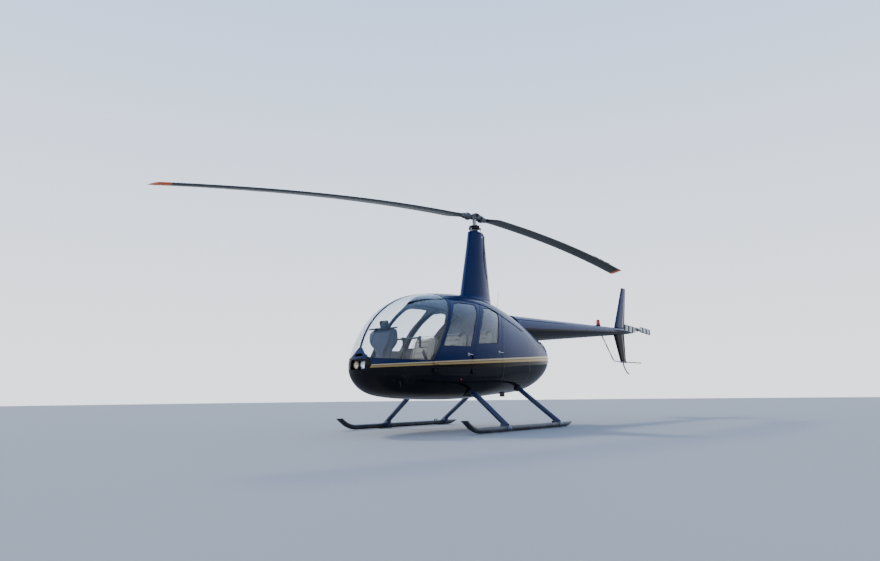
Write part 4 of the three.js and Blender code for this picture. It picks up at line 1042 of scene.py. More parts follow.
def boom_exit(extra):
    """Where the boom comes out of the body: on each line along it, the first station outside."""
    stations = np.linspace(BOOM_START, -1.745, 600)
    rings = boom_ring(stations, extra)
    row = row_at(stations)
    form = [column[:, None] for column in body_at(row)]
    first = np.argmax(outness(rings[..., 1], rings[..., 2], form) > 1, axis=0)
    _, y, z = rings[first, np.arange(rings.shape[1])].T
    return pattern_of(np.stack([row[first], np.arctan2(z - form[4][first, 0], y)], 1), "tail")


def cap_loop(left, under=False):
    """A loop over the top, or under the belly, between a line up the left side and its mirror."""
    left = from_side(stepped(np.array(left, float), closed=False))
    right = np.stack([left[::-1, 0], np.pi - left[::-1, 1]], 1)
    if under:
        right[:, 1] -= 2 * np.pi
    share = np.linspace(0, 1, 60)[1:-1, None]
    over, back = (start + (end - start) * share
                  for start, end in ((left[-1], right[0]), (right[-1], left[0])))
    return np.concatenate([left, over, right, back])


def studs(flat, pole, radius=0.0035, height=0.0009, sides=8):
    """Low round heads on the skin: a disc across the normal and a smaller one above it."""
    places, (_, normal) = from_pattern(flat, pole), skin_slopes(flat, pole)
    side = unit(np.cross(normal, (0.3, 0.1, 1.0)))
    other = np.cross(normal, side)
    turn = full_turn(sides)[:, None, None]
    ring = np.cos(turn) * side + np.sin(turn) * other
    levels = [(-0.002, radius), (height * 0.4, radius), (height, radius * 0.6)]
    rings = np.stack([places + normal * up + ring * out for up, out in levels])
    return together([loft(rings[:, :, k]) for k in range(len(flat))])


def spaced(loop, spacing):
    """Points of a loop about a spacing apart."""
    step = np.linalg.norm(np.roll(loop, -1, 0) - loop, axis=1)
    along = np.r_[0, np.cumsum(step)]
    count = max(3, int(along[-1] / spacing))
    at = np.linspace(0, along[-1], count, endpoint=False)
    closed = np.concatenate([loop, loop[:1]])
    return np.stack([np.interp(at, along, closed[:, k]) for k in range(2)], 1)


roof_loop = pattern_of(cap_loop(ROOF_EDGE))
panel("roof_skin", [widened(roof_loop, -PANEL_GAP)], SKIN, [BODY_PAINT, LINING],
      stands_for=["roof_panel"])
side_cowl = [*ENGINE_EDGE[::-1], (-0.330, 1.493), (-0.450, 1.443), *COWL_REAR[::-1]]
cowl_loops = {}
for side, sign in SIDES:
    cowl_loops[side] = side_outline(side_cowl, sign=sign)
    panel("side_cowl_" + side, [widened(cowl_loops[side], -PANEL_GAP)], COWL_SKIN, BODY_PAINT,
          stands_for=["engine_cowl_" + side])
rear_loop = ring_loop([*COWL_REAR, (-0.450, 1.443)], "tail")
boom_hole = boom_exit(0.004)
# The air outlet under the boom on each side: its edge follows the boom, then the side view's line.
OUTLET_EDGE = [(-1.200, 1.385), (-1.270, 1.330), (-1.335, 1.262), (-1.420, 1.190), (-1.500, 1.125),
               (-1.600, 1.100), (-1.645, 1.150), (-1.620, 1.250), (-1.585, 1.315)]
OUTLET_BAR = [(-1.332, 0.320, 1.307), (-1.451, 0.317, 1.250), (-1.491, 0.347, 1.157)]
OUTLET_DEEP, OUTLET_WALL, BAR_RADIUS = 0.030, 0.0015, 0.0055
under_line = pattern_of(from_side(open_line(OUTLET_EDGE)), "tail")
outlet = np.concatenate([boom_exit(0.024)[-16:-1], under_line])
outlets = {"left": outlet, "right": (outlet * (-1, 1))[::-1]}
panel("rear_cowl_skin", [widened(rear_loop, -PANEL_GAP, "tail"), boom_hole, *outlets.values()],
      COWL_SKIN, BODY_PAINT, pole="tail", cell=0.016, stands_for=["rear_cowl"])
belly_loop = pattern_of(cap_loop([(-0.592, BELLY_EDGE), (0.244, BELLY_EDGE)], under=True))
panel("belly_skin", [widened(belly_loop, -PANEL_GAP)], COWL_SKIN, BODY_PAINT,
      stands_for=["engine_belly"])
SCREW_INSET = 0.018
heads = [studs(spaced(widened(loop, -SCREW_INSET), 0.085), "nose")
         for loop in (*cowl_loops.values(), belly_loop)]
heads.append(studs(spaced(widened(rear_loop, -SCREW_INSET, "tail"), 0.075), "tail"))
put_mesh("cowl_screws", heads, BARE_STEEL)
# The boom's rubber seal swells into a wider lobe high on its left.
bulge = 0.034 * np.clip(np.cos(full_turn(72) - 0.9), 0, 1) ** 5
seal_edges = np.stack([boom_exit(0.018 + bulge), boom_exit(0.020 + bulge), boom_exit(-0.002)])
put_mesh("boom_seal", loft(on_skin(seal_edges, "tail", -0.0015), capped=False), BLACK_RUBBER)


def vent_gauze_and_shade(tree):
    """Woven wire, nearly black, and darkest between its threads: painted shade of the dark bay
    behind the mesh.
    """
    where = object_place(tree)
    wires = [add_node(tree, "TexWave", {"Vector": where, "Scale": 90.0}, bands_direction=way)
             for way in "ZX"]
    wire = maths(tree, "MAXIMUM", *(node.outputs["Fac"] for node in wires))
    # Painted shade: the gaps are darker than the wires, standing for the shaded bay behind.
    return blend_colours(tree, rising(tree, wire, 0.7, 0.9), (0.003, 0.003, 0.004),
                         (0.012, 0.012, 0.014))


GAUZE_AND_SHADE = finish_of("vent_gauze_and_shade", (0.01, 0.01, 0.01), 0.7, bump=0.4, dust=0.0, colour_from=vent_gauze_and_shade,
                  Specular_IOR_Level=0.1)
walls, bars = [], []
bar = rod(open_line(OUTLET_BAR, 0.02), BAR_RADIUS, 16, rounded=0.003)
for side, loop in outlets.items():
    panel("outlet_gauze_" + side, [widened(loop, 0.004, "tail")], OUTLET_WALL, GAUZE_AND_SHADE,
          pole="tail", depth=OUTLET_DEEP, edge=0)
    levels = ((-OUTLET_WALL, COWL_SKIN - 0.001), (-OUTLET_WALL, OUTLET_DEEP), (0.0, OUTLET_DEEP),
              (0.0, COWL_SKIN + 0.0005))
    rings = [on_skin(widened(loop, out, "tail"), "tail", deep) for out, deep in levels]
    walls.append(loft([*rings, rings[0]], capped=False))
    bars.append(bar if side == "left" else mirrored(bar))
put_mesh("outlet_walls", walls, JAMB_RUBBER)
put_mesh("outlet_bars", bars, BARE_STEEL)

DRIP_RAIL = [(1.150, 0.300), (1.079, 0.291), (0.727, 0.284), (0.470, 0.300), (0.079, 0.313)]
RAIL_RADIUS = 0.0055
rails = []
for sign in (1, -1):
    line = open_line(np.array(DRIP_RAIL) * (1, sign), 0.02)
    along = on_skin(pattern_of(from_above(line)), "nose", -0.001)
    rails.append(rod(along, RAIL_RADIUS, 12, rounded=0.004))
put_mesh("drip_rails", rails, BODY_PAINT)

# Rubber collars where the legs go into the belly, from a little outside the skin to well inside.
COLLAR_REACH, COLLAR_LENGTH, COLLAR_STEP = 0.035, 0.16, 0.01
collars = []
for x, middle, slope in CROSS_TUBES.values():
    _, low, _, half, wide, _, lower = body_at(row_at(x))
    for sign in (1, -1):
        leg = bent(leg_path(x, middle, slope, sign), LEG_BEND, BEND_STEPS)
        line = stepped(leg, COLLAR_STEP, closed=False)
        over = (np.abs(line[:, 1]) / (half + COLLAR_REACH)) ** lower
        over += (np.abs(line[:, 2] - wide) / (wide - low + COLLAR_REACH)) ** lower
        start = np.argmax(over < 1)
        spots = line[start:start + int(COLLAR_LENGTH / COLLAR_STEP)]
        wide_by = 0.0395 + 0.0135 * np.clip(np.arange(len(spots)) / 2.0, 0, 1)
        collars.append(rod(spots, wide_by, 40, rounded=0.002))
put_mesh("leg_collars", collars, BLACK_RUBBER)


# Landing lights: two sealed lamps in a black box let into the nose, one with a gold reflector,
# under a half-round air inlet. A small coloured position light stands on each side of the belly.
BOX_MIDDLE = 0.832
LAMP_SIDE, LAMP_RADIUS = 0.059, 0.052
CUP_WALL = 0.004
SURROUND = [(-0.155, 0.752, 0.03), (0.155, 0.752, 0.03), (0.205, 0.840, 0.03), (0.170, 0.912, 0.03),
            (-0.170, 0.912, 0.03), (-0.205, 0.840, 0.03)]
GLOSS_BLACK_TRIM = finish_of("gloss_black_trim", (0.006, 0.006, 0.007), 0.22, bump=0.02, dust=0.05,
                             Coat_Weight=0.45, Coat_Roughness=0.04, Specular_IOR_Level=0.0)
CHROME = finish_of("lamp_chrome", (0.90, 0.91, 0.93), 0.10, bump=0.0, dust=0.0, Metallic=1.0)
GOLD_MIRROR = finish_of("lamp_gold", (0.62, 0.50, 0.24), 0.22, bump=0.0, dust=0.0, Metallic=1.0)


def let_in(hole, wall, back, middle):
    """A cup whose rim is a hole's edge: the skin's edge in to a flat floor, and back out behind."""
    rim, behind = (on_skin(widened(hole, -PANEL_GAP), "nose", deep) for deep in (0.0008, 0.011))
    inner = on_skin(widened(hole, -wall), "nose", 0.001)
    floor, outer = ((ring - middle) * (0, draft, draft) + middle
                    for ring, draft in ((inner, 0.97), (rim, 0.99)))
    floor[:, 0], outer[:, 0] = back, back - CUP_WALL
    return loft([outer, behind, rim, inner, floor + (CUP_WALL, 0, 0), floor])


put_mesh("light_box", let_in(light_hole, 0.004, 2.393, np.array([0, 0, BOX_MIDDLE])),
         GLOSS_BLACK_TRIM, ["landing_lights"])
surround = pattern_of(from_front(stepped(rounded_corners(SURROUND))))
panel("light_surround", [surround, light_hole], 0.0014, GLOSS_BLACK_TRIM, depth=-0.0012,
      cell=0.012, edge=0.0005)
put_mesh("inlet_duct", let_in(inlet_hole, 0.003, 2.360, np.array([0, 0, 0.949])), JAMB_RUBBER)

LAMP_GLASS = glass_of("lamp_glass", (0.97, 0.97, 0.98))
FILAMENT = finish_of("lamp_filament", (0.9, 0.88, 0.8), 0.3, bump=0.0, dust=0.0)
bowl = [(2.394, 0.0008), (2.394, 0.046), (2.402, LAMP_RADIUS), (2.417, LAMP_RADIUS),
        (2.419, 0.0505), (2.417, 0.0485), (2.411, 0.044), (2.405, 0.036), (2.401, 0.026),
        (2.3985, 0.013), (2.3975, 0.0008)]
lens_turn = np.linspace(0, np.pi / 2, 9)
lens = [(2.415, 0.0008), (2.415, 0.0482), *np.stack([2.417 + 0.009 * np.sin(lens_turn),
                                                     0.0482 * np.cos(lens_turn) + 0.0008], 1)]
bulb = [(2.398, 0.004), (2.404, 0.0045), (2.409, 0.0035), (2.411, 0.0008)]
for side, y, mirror in (("left", LAMP_SIDE, CHROME), ("right", -LAMP_SIDE, GOLD_MIRROR)):
    place = (0, y, BOX_MIDDLE)
    put_mesh("lamp_reflector_" + side, lathe(bowl, place, "x", 56), mirror)
    put_mesh("lamp_bulb_" + side, lathe(bulb, place, "x", 20), FILAMENT)
    put_mesh("lamp_lens_" + side, lathe(lens, place, "x", 56), LAMP_GLASS)
    rim = [(2.416, 0.0495), (2.416, 0.0545), (2.420, 0.0555), (2.4225, 0.0535), (2.4225, 0.050)]
    hollow = lathe([*rim, rim[0]], place, "x", 56)
    put_mesh("lamp_rim_" + side, (hollow[0], hollow[1][:-2]), GLOSS_BLACK_TRIM)


def lens_of(name, bright, deep, transmission=0.35):
    """Coloured translucent plastic, a little uneven in depth."""
    material, tree, shader = new_material(name, bright)
    share = rising(tree, noise(tree, object_place(tree), 60.0), 0.4, 0.8)
    colour = blend_colours(tree, share, bright, deep)
    for key, value in (("Base Color", colour), ("Roughness", 0.14), ("IOR", 1.5),
                       ("Transmission Weight", transmission), ("Coat Weight", 0.5)):
        feed(tree, shader.inputs[key], value)
    return material


RED_LENS = lens_of("red_lens", (0.62, 0.012, 0.008), (0.46, 0.010, 0.008))
GREEN_LENS = lens_of("green_lens", (0.01, 0.38, 0.10), (0.01, 0.28, 0.08))
side_row, side_angle = from_side([(1.217, 0.661)]).T
light_foot = skin(side_row, side_angle)[0]
base_form = lathe([(-0.012, 0.018), (0.004, 0.018), (0.006, 0.015)], light_foot, "y", 32)
dome = np.stack([0.006 + 0.016 * np.sin(lens_turn), 0.013 * np.cos(lens_turn) + 0.0005], 1)
dome_form = lathe(np.concatenate([[(0.004, 0.013)], dome]), light_foot, "y", 32)
for side, sign, glow in (("left", 1, RED_LENS), ("right", -1, GREEN_LENS)):
    put_mesh("position_light_base_" + side, on_side(base_form, sign), GLOSS_BLACK_TRIM)
    put_mesh("position_light_" + side, on_side(dome_form, sign), glow)


# Cabin inside: a flat floor with ribbed carpet, a quilted lining over the firewall, boxed seat
# bases that are also lockers, a moulded console and a stick whose cross bar both pilots reach.
FLOOR_LOW, FLOOR_TOP = 0.548, 0.560
FIREWALL_LINE = [(-0.096, 1.700), (0.126, 1.451), (0.235, 1.222), (0.270, 0.971), (0.270, 0.562)]
INSIDE = 0.024


def plate(outline, low, high, axis="y", edge=0.002):
    """A flat part: its outline carried along an axis, edges eased by moving it in along normals."""
    outline = np.asarray(outline, float)[:, :2]
    step = np.roll(outline, -1, 0) - np.roll(outline, 1, 0)
    normal = np.stack([step[:, 1], -step[:, 0]], 1) * turning(outline)
    inner = outline - unit(normal) * edge
    rings = []
    for along, ring in ((low, inner), (low + edge, outline), (high - edge, outline), (high, inner)):
        rings.append(np.insert(ring, "xyz".index(axis), along, 1))
    return loft(rings)


def half_width_at(x, z):
    """The body's half width at places (x, z), less the walls."""
    row, angle = from_side(np.stack([x, z], 1)).T
    return skin(row, angle)[:, 1] - INSIDE


def carpet(tree):
    """Dark grey loops, ribbed across, trodden paler in patches."""
    where = object_place(tree)
    patches = rising(tree, noise(tree, where, 6.0, 5.0), 0.35, 0.75)
    colour = blend_colours(tree, patches, (0.050, 0.053, 0.062), (0.085, 0.087, 0.095))
    ribs = add_node(tree, "TexWave", {"Vector": where, "Scale": 60.0, "Distortion": 1.5})
    ribs = maths(tree, "MULTIPLY", ribs.outputs["Fac"], 0.35)
    return blend_colours(tree, ribs, colour, (0.03, 0.03, 0.035))


CARPET = finish_of("cabin_carpet", (0.06, 0.06, 0.07), 0.95, bump=0.9, dust=0.3, grain=1200.0,
                   colour_from=carpet)
x = np.linspace(0.292, 2.180, 48)
wide = half_width_at(x, np.full(len(x), FLOOR_LOW))
outline = np.concatenate([np.stack([x, wide], 1), np.stack([x, -wide], 1)[::-1]])
put_mesh("cabin_floor", plate(outline, FLOOR_LOW, FLOOR_TOP, "z", 0.002), CARPET,
         ["floor"])


def quilted(tree):
    """Grey-blue cloth in two cloudy shades."""
    where = object_place(tree)
    patches = rising(tree, noise(tree, where, 8.0, 4.0), 0.3, 0.8)
    return blend_colours(tree, patches, (0.15, 0.16, 0.20), (0.20, 0.21, 0.25))


WALL_CLOTH = finish_of("wall_cloth", (0.17, 0.18, 0.22), 0.9, bump=0.6, dust=0.0, grain=900.0,
                       colour_from=quilted, Sheen_Weight=0.3)
fire = stepped(np.array(FIREWALL_LINE), 0.03, closed=False)
wide = half_width_at(fire[:, 0], fire[:, 1])
COLUMNS, CHANNELS, CHANNEL_DEEP, CLOTH_THICK = 61, 7, 0.006, 0.018
across = np.linspace(-1, 1, COLUMNS)
channel = CHANNEL_DEEP * np.abs(np.sin(np.linspace(0, CHANNELS * np.pi, COLUMNS))) ** 0.6
high = np.broadcast_to(fire[:, 1:], (len(fire), COLUMNS))
front, back = (np.stack([fire[:, :1] + deep, wide[:, None] * across, high], -1)
               for deep in (channel, -CLOTH_THICK + 0 * across))
put_mesh("firewall_lining", loft(np.concatenate([front, back[:, ::-1]], 1)), WALL_CLOTH,
         ["firewall"])

SEATS = {
    # box back and front, box top, lean of the back, height of its top
    "front": (0.960, 1.470, 0.760, 0.130, 1.285),
    "rear": (0.345, 0.855, 0.780, 0.145, 1.360),
}
SEAT_INNER, SEAT_OUTER, CUSHION = 0.045, 0.490, 0.095
for name, (back, front, top, _, _) in SEATS.items():
    boxes = [slab((back, -SEAT_OUTER, 0.561), (front, SEAT_OUTER, top - 0.018), 0.012),
             slab((back, -SEAT_OUTER, top - 0.016), (front, -0.006, top - 0.001), 0.004),
             slab((back, 0.006, top - 0.016), (front, SEAT_OUTER, top - 0.001), 0.004)]
    put_mesh("seat_base_" + name, boxes, TRIM_GREY, ["seat_box_" + name])

CONSOLE_GREY = finish_of("console_moulding", (0.085, 0.10, 0.135), 0.62, bump=0.7, dust=0.1,
                         grain=1400.0)
DIAL_FACE = finish_of("dial_face", (0.008, 0.008, 0.009), 0.35, bump=0.0, dust=0.0, Coat_Weight=0.8,
                      Coat_Roughness=0.02)
POD = [(1.900, 0.561, 0.01), (2.070, 0.561, 0.01), (2.085, 0.880, 0.06), (2.095, 1.160, 0.05),
       (2.085, 1.275, 0.06), (1.945, 1.300, 0.050), (1.925, 1.080, 0.06), (1.950, 0.980, 0.05)]
pod = stepped(rounded_corners(POD, 8))
pod_middle = np.array([1.99, 0.95])
levels = []
for y, shrink in ((-0.158, 0.94), (-0.156, 0.965), (-0.148, 0.985), (-0.130, 1.0), (0.130, 1.0),
                  (0.148, 0.985), (0.156, 0.965), (0.158, 0.94)):
    wider = y * (0.42 + 0.68 * np.sin(np.pi / 2 * np.clip((pod[:, 1] - 1.02) / 0.16, 0, 1)))
    ring = (pod - pod_middle) * shrink + pod_middle
    levels.append(np.stack([ring[:, 0], wider, ring[:, 1]], 1))
put_mesh("console_pod", loft(levels), CONSOLE_GREY, ["console"])
hood = [(2.105, 1.278, 0.02), (2.108, 1.292, 0.01), (1.925, 1.318, 0.012), (1.918, 1.300, 0.01)]
radio = [(1.965, 1.308, 0.005), (1.985, 1.405, 0.03), (1.915, 1.415, 0.03), (1.900, 1.314, 0.005)]
topping = [plate(rounded_corners(hood), -0.160, 0.160, "y", 0.006),
           plate(rounded_corners(radio), -0.110, 0.000, "y", 0.008)]
put_mesh("console_hood", topping, JAMB_RUBBER)
facing = np.array([-np.cos(0.09), 0, np.sin(0.09)])
# height of each row of dials, their places across, their radius
DIAL_ROWS = [(1.235, (-0.115, -0.038, 0.038, 0.115), 0.034),
             (1.155, (-0.115, -0.038, 0.038, 0.115), 0.034), (1.085, (-0.075, 0.0, 0.075), 0.026)]
dials, bezels = [], []
for row_z, places_y, radius in DIAL_ROWS:
    for y in places_y:
        foot = np.array([1.936 + (row_z - DIAL_ROWS[0][0]) * 0.085, y, row_z])
        dials.append(rod([foot - facing * 0.004, foot + facing * 0.004], radius * 0.88, 32))
        bezels.append(rod([foot - facing * 0.004, foot + facing * 0.002, foot + facing * 0.0075],
                          (radius, radius, radius * 0.93), 32))
put_mesh("dial_faces", dials, DIAL_FACE)
put_mesh("dial_bezels", bezels, CONSOLE_GREY)

STICK_X, STICK_TOP, BAR_HALF = 1.640, 1.190, 0.285
DARK_METAL = finish_of("dark_metal", (0.03, 0.031, 0.034), 0.38, bump=0.2, dust=0.1, grain=600.0,
                       Metallic=0.6)
post = bent([(1.611, 0, 0.575), (1.613, 0, 0.80), (STICK_X, 0, STICK_TOP)], 0.15)
stick = [rod(post, 0.0155, 24, rounded=0.004),
         rod([(STICK_X, -BAR_HALF, STICK_TOP), (STICK_X, BAR_HALF, STICK_TOP)], 0.0115, 20),
         lathe([(0.561, 0.036), (0.575, 0.034), (0.590, 0.026), (0.612, 0.018)], (1.611, 0, 0), "z",
               32), slab((1.618, -0.024, STICK_TOP - 0.020), (1.662, 0.024, STICK_TOP + 0.020),
                         0.006)]
grips = []
for y in (-BAR_HALF, BAR_HALF):
    grip = [(STICK_X, y, STICK_TOP + z) for z in (0.022, 0.008, -0.025, -0.060, -0.095, -0.128)]
    grips.append(rod(grip, (0.017, 0.0175, 0.0145, 0.0165, 0.0145, 0.0165), 24, rounded=0.004))
put_mesh("cyclic_bar", stick, DARK_METAL, ["cyclic"])
put_mesh("cyclic_grips", grips, BLACK_RUBBER)
LEVER_PLACES, PEDAL_PLACES = (0.0, 0.50), (-0.36, -0.20, 0.20, 0.36)
levers, pedals = [], []
for y in LEVER_PLACES:
    lever = bent([(1.02, y, 0.80), (1.25, y, 0.845), (1.43, y, 0.915)], 0.05)
    levers.append(rod(lever, 0.010, 18, rounded=0.003))
    levers.append(rod([(1.33, y, 0.876), (1.44, y, 0.919)], 0.0155, 20, rounded=0.004))
for y in PEDAL_PLACES:
    pedals.append(rod([(2.085, y, 0.565), (2.105, y, 0.66), (2.075, y, 0.700)], 0.008, 16,
                      rounded=0.002))
    pedals.append(slab((2.045, y - 0.045, 0.695), (2.100, y + 0.045, 0.707), 0.004))
put_mesh("collective_levers", levers, DARK_METAL)
put_mesh("pedals", pedals, DARK_METAL)

COMPASS = np.array([1.265, 0.0, 1.735])
case = lathe([(-0.032, 0.020), (-0.028, 0.029), (0.020, 0.031), (0.026, 0.026), (0.026, 0.010)],
             COMPASS, "x", 32)
hanger = rod([COMPASS + (0, 0, 0.02), COMPASS + (0.01, 0, 0.075)], 0.006, 12)
put_mesh("compass", [case, hanger], JAMB_RUBBER)


# Seats: foam pads covered in pale tan leather, sewn in channels and piped round their edges, laid
# on the boxes and against leaning backs, with black webbing belts to a buckle between the seats.
PAD_WIDTH, PAD_LENGTH, PAD_THICK = 0.432, 0.452, 0.088
BACK_THICK, BACK_LENGTH, BACK_TAPER = 0.080, 0.455, 0.10
PAD_CORNER = 0.22  # power of the pads' rounded oblong; lower is squarer
PAD_PLAY = 0.008  # room for the swelling at each end and side
BACK_LEVEL, CORD_RADIUS, SHELL_THICK = 0.80, 0.0042, 0.014
VOXEL = 0.007
PUFF = 0.014  # the furthest that a point of a pad may swell


def oblong(count):
    """Points of a square of half width 1 with rounded corners, from powers of sine and cosine."""
    ways = np.stack([np.cos(full_turn(count)), np.sin(full_turn(count))], 1)
    return np.sign(ways) * np.abs(ways) ** PAD_CORNER


def pad_form(width, length, thick, taper=0.0):
    """A pad with rounded corners: each level is an oblong, smaller towards the two faces.

    Along is from 0 to the length, across is the width less the taper's share at the far end.
    """
    along, across = oblong(120).T
    rings = []
    for lift in np.linspace(-np.pi / 2, np.pi / 2, 13):
        inset = thick * 0.5 * (1 - np.cos(lift)) * 0.9
        u = along * (length / 2 - inset)
        v = across * (width / 2 - inset) * (1 - taper * (u / length + 0.5))
        height = np.full(len(u), thick / 2 * np.sin(lift) + thick / 2)
        rings.append(np.stack([u + length / 2, v, height], 1))
    return loft(rings)


def swollen(form, puff):
    """The form remeshed in small cells, then swelled as cloth, each point's way capped."""
    mesh = bpy.data.meshes.new("soft_start")
    mesh.from_pydata(form[0], [], [list(f) for f in form[1]])
    soft = bpy.data.objects.new("soft_start", mesh)
    bpy.context.scene.collection.objects.link(soft)
    remesh = soft.modifiers.new("remesh", "REMESH")
    remesh.mode, remesh.voxel_size = "VOXEL", VOXEL

    def current():
        """The soft object's points and faces as its modifiers leave them now."""
        shape = soft.evaluated_get(bpy.context.evaluated_depsgraph_get())
        made = shape.to_mesh()
        spots = np.empty(len(made.vertices) * 3)
        made.vertices.foreach_get("co", spots)
        corners = [list(face.vertices) for face in made.polygons]
        shape.to_mesh_clear()
        return spots.reshape(-1, 3), corners

    start, faces = current()
    end = start
    soft.modifiers.remove(remesh)
    fine = bpy.data.meshes.new("soft_fine")
    fine.from_pydata(start, [], faces)
    soft.data = fine
    cloth = soft.modifiers.new("cloth", "CLOTH")
    cloth.settings.use_pressure = True
    cloth.settings.uniform_pressure_force = 4.0
    cloth.settings.effector_weights.gravity = 0.0
    for number in range(1, 21):
        bpy.context.scene.frame_set(number)
    end, _ = current()
    bpy.context.scene.frame_set(1)
    way = end - start
    far = np.linalg.norm(way, axis=1)[:, None]
    points = start + way * np.minimum(1, puff / np.maximum(far, 1e-9))
    bpy.data.objects.remove(soft)
    return points, faces


def sewn(points, lines_along, lines_across, width, depth=0.007, half=0.0065):
    """Channels pressed into a pad's face: depth times a bell curve of the distance to each line.

    Lines across are at distances along the pad, lines along at distances from its middle. Each
    acts only on the upper face, and the mask goes with the points as painted shade in the channels.
    """
    upper = np.clip((points[:, 2] - PAD_THICK * 0.45) / 0.02, 0, 1)
    mask = np.zeros(len(points))
    inner = np.clip((width - np.abs(points[:, 1])) / 0.01, 0, 1)
    for place in lines_across:
        mask = np.maximum(mask, np.exp(-((points[:, 0] - place) / half) ** 2) * inner)
    for place in lines_along:
        mask = np.maximum(mask, np.exp(-((np.abs(points[:, 1]) - place) / half) ** 2))
    mask = mask * upper
    points = points - np.stack([0 * mask, 0 * mask, depth * mask], 1)
    crown = 0.010 * np.cos(np.clip(points[:, 1] / width, -1, 1) * np.pi / 2) * upper
    points[:, 2] += crown
    return points, mask


def leather_colours(tree):
    """Pale tan hide: cloudy shades, painted shade darkening the sewn channels, paler where it is
    rubbed.
    """
    where = object_place(tree)
    # The 'seam' attribute is the channels' mask, used to paint shade into them.
    seam = add_node(tree, "Attribute", attribute_name="seam").outputs["Fac"]
    cloudy = blend_colours(tree, rising(tree, noise(tree, where, 9.0, 5.0, 0.6), 0.3, 0.75),
                           (0.50, 0.435, 0.335), (0.62, 0.55, 0.435))
    creases = add_node(tree, "TexVoronoi", {"Vector": where, "Scale": 420.0},
                       feature="DISTANCE_TO_EDGE")
    grain = rising(tree, creases.outputs["Distance"], 0.0, 0.12)
    cloudy = blend_colours(tree, maths(tree, "SUBTRACT", 1.0, grain), cloudy, (0.36, 0.30, 0.22))
    # Painted shade: dark brown down the pressed channels, where shade falls in the creases.
    return blend_colours(tree, maths(tree, "MULTIPLY", seam, 0.75), cloudy, (0.14, 0.11, 0.08))


LEATHER = finish_of("seat_leather", (0.56, 0.49, 0.38), 0.46, bump=0.5, dust=0.0, grain=600.0,
                    colour_from=leather_colours, Sheen_Weight=0.1)
PIPING = finish_of("seat_piping", (0.56, 0.51, 0.43), 0.5, bump=0.4, dust=0.0, grain=800.0)


def webbing_colours(tree):
    """Black woven webbing with a fine cross rib."""
    weave = {"Vector": object_place(tree), "Scale": 190.0, "Distortion": 0.6}
    rib = add_node(tree, "TexWave", weave)
    return blend_colours(tree, rib.outputs["Fac"], (0.012, 0.012, 0.014), (0.035, 0.035, 0.038))


WEBBING = finish_of("belt_webbing", (0.02, 0.02, 0.022), 0.8, bump=0.8, dust=0.0, grain=1500.0,
                    colour_from=webbing_colours)


def hoop(path, radius, sides=12):
    """A tube round a closed path: its rings follow the path's own tangents and close up."""
    ahead = unit(np.roll(path, -1, 0) - np.roll(path, 1, 0))
    out = path - path.mean(0)
    side = unit(out - ahead * np.sum(out * ahead, 1)[:, None])
    other = np.cross(ahead, side)
    angle = full_turn(sides)[:, None]
    across = np.cos(angle) * side[:, None] + np.sin(angle) * other[:, None]
    rings = path[:, None] + radius * across
    n = len(path)
    ring, spot = np.meshgrid(np.arange(n), np.arange(sides), indexing="ij")
    after, beyond = (spot + 1) % sides, (ring + 1) % n
    quads = [ring * sides + spot, ring * sides + after, beyond * sides + after,
             beyond * sides + spot]
    return outward(rings.reshape(-1, 3), np.stack(quads, -1).reshape(-1, 4).tolist())


def strap(path, normal, width=0.046, thick=0.0016, steps=10):
    """Flat webbing along a path: an oblong carried with its flat side facing a normal."""
    path = bent(path, 0.04, steps) if len(path) > 2 else np.asarray(path, float)
    ahead = unit(np.gradient(path, axis=0))
    side = unit(np.cross(ahead, normal))
    face = np.cross(side, ahead)
    w, t = side * width / 2, face * thick / 2
    return loft(np.stack([path - w - t, path + w - t, path + w + t, path - w + t], 1))


def laid(points, origin, along, up):
    """Pad points moved to a seat: the pad's length, width and thickness on three given axes."""
    along, up = np.asarray(along, float), np.asarray(up, float)
    return origin + points[:, :1] * along + points[:, 1:2] * (0, 1, 0) + points[:, 2:] * up


def sewn_pad(length, thick, taper, line_along, lines_across):
    """A swollen and sewn pad: its points, its faces and the mask of painted shade in its channels.
    """
    start = pad_form(PAD_WIDTH - 2 * PAD_PLAY, length - 2 * PAD_PLAY, thick - 0.012, taper)
    points, faces = swollen(start, PUFF)
    points, channel_shade = sewn(points + (PAD_PLAY, 0, 0.004), [line_along], lines_across, line_along)
    return points, faces, channel_shade


cushion_points, pad_faces, cushion_channel_shade = sewn_pad(
    PAD_LENGTH, PAD_THICK, 0.0, 0.135, np.arange(0.075, 0.42, 0.075))
back_points, back_faces, back_channel_shade = sewn_pad(
    BACK_LENGTH, BACK_THICK, BACK_TAPER, 0.120, np.arange(0.085, 0.43, 0.070))


def piping_round(length, level, inset=0.008):
    """The pad's edge line at a level, a little in from its widest."""
    along, across = oblong(140).T
    return np.stack([length / 2 + along * (length / 2 - inset), across * (PAD_WIDTH / 2 - inset),
                     np.full(len(along), level)], 1)


def upholstered(name, placed, faces, channel_shade, stands_for=()):
    """One leather pad with the mask of painted shade in its channels."""
    pad = put_mesh(name, (placed, faces), LEATHER, stands_for)
    # The 'seam' attribute carries the mask of painted shade in the channels.
    pad.data.attributes.new("seam", "FLOAT", "POINT").data.foreach_set("value", channel_shade)


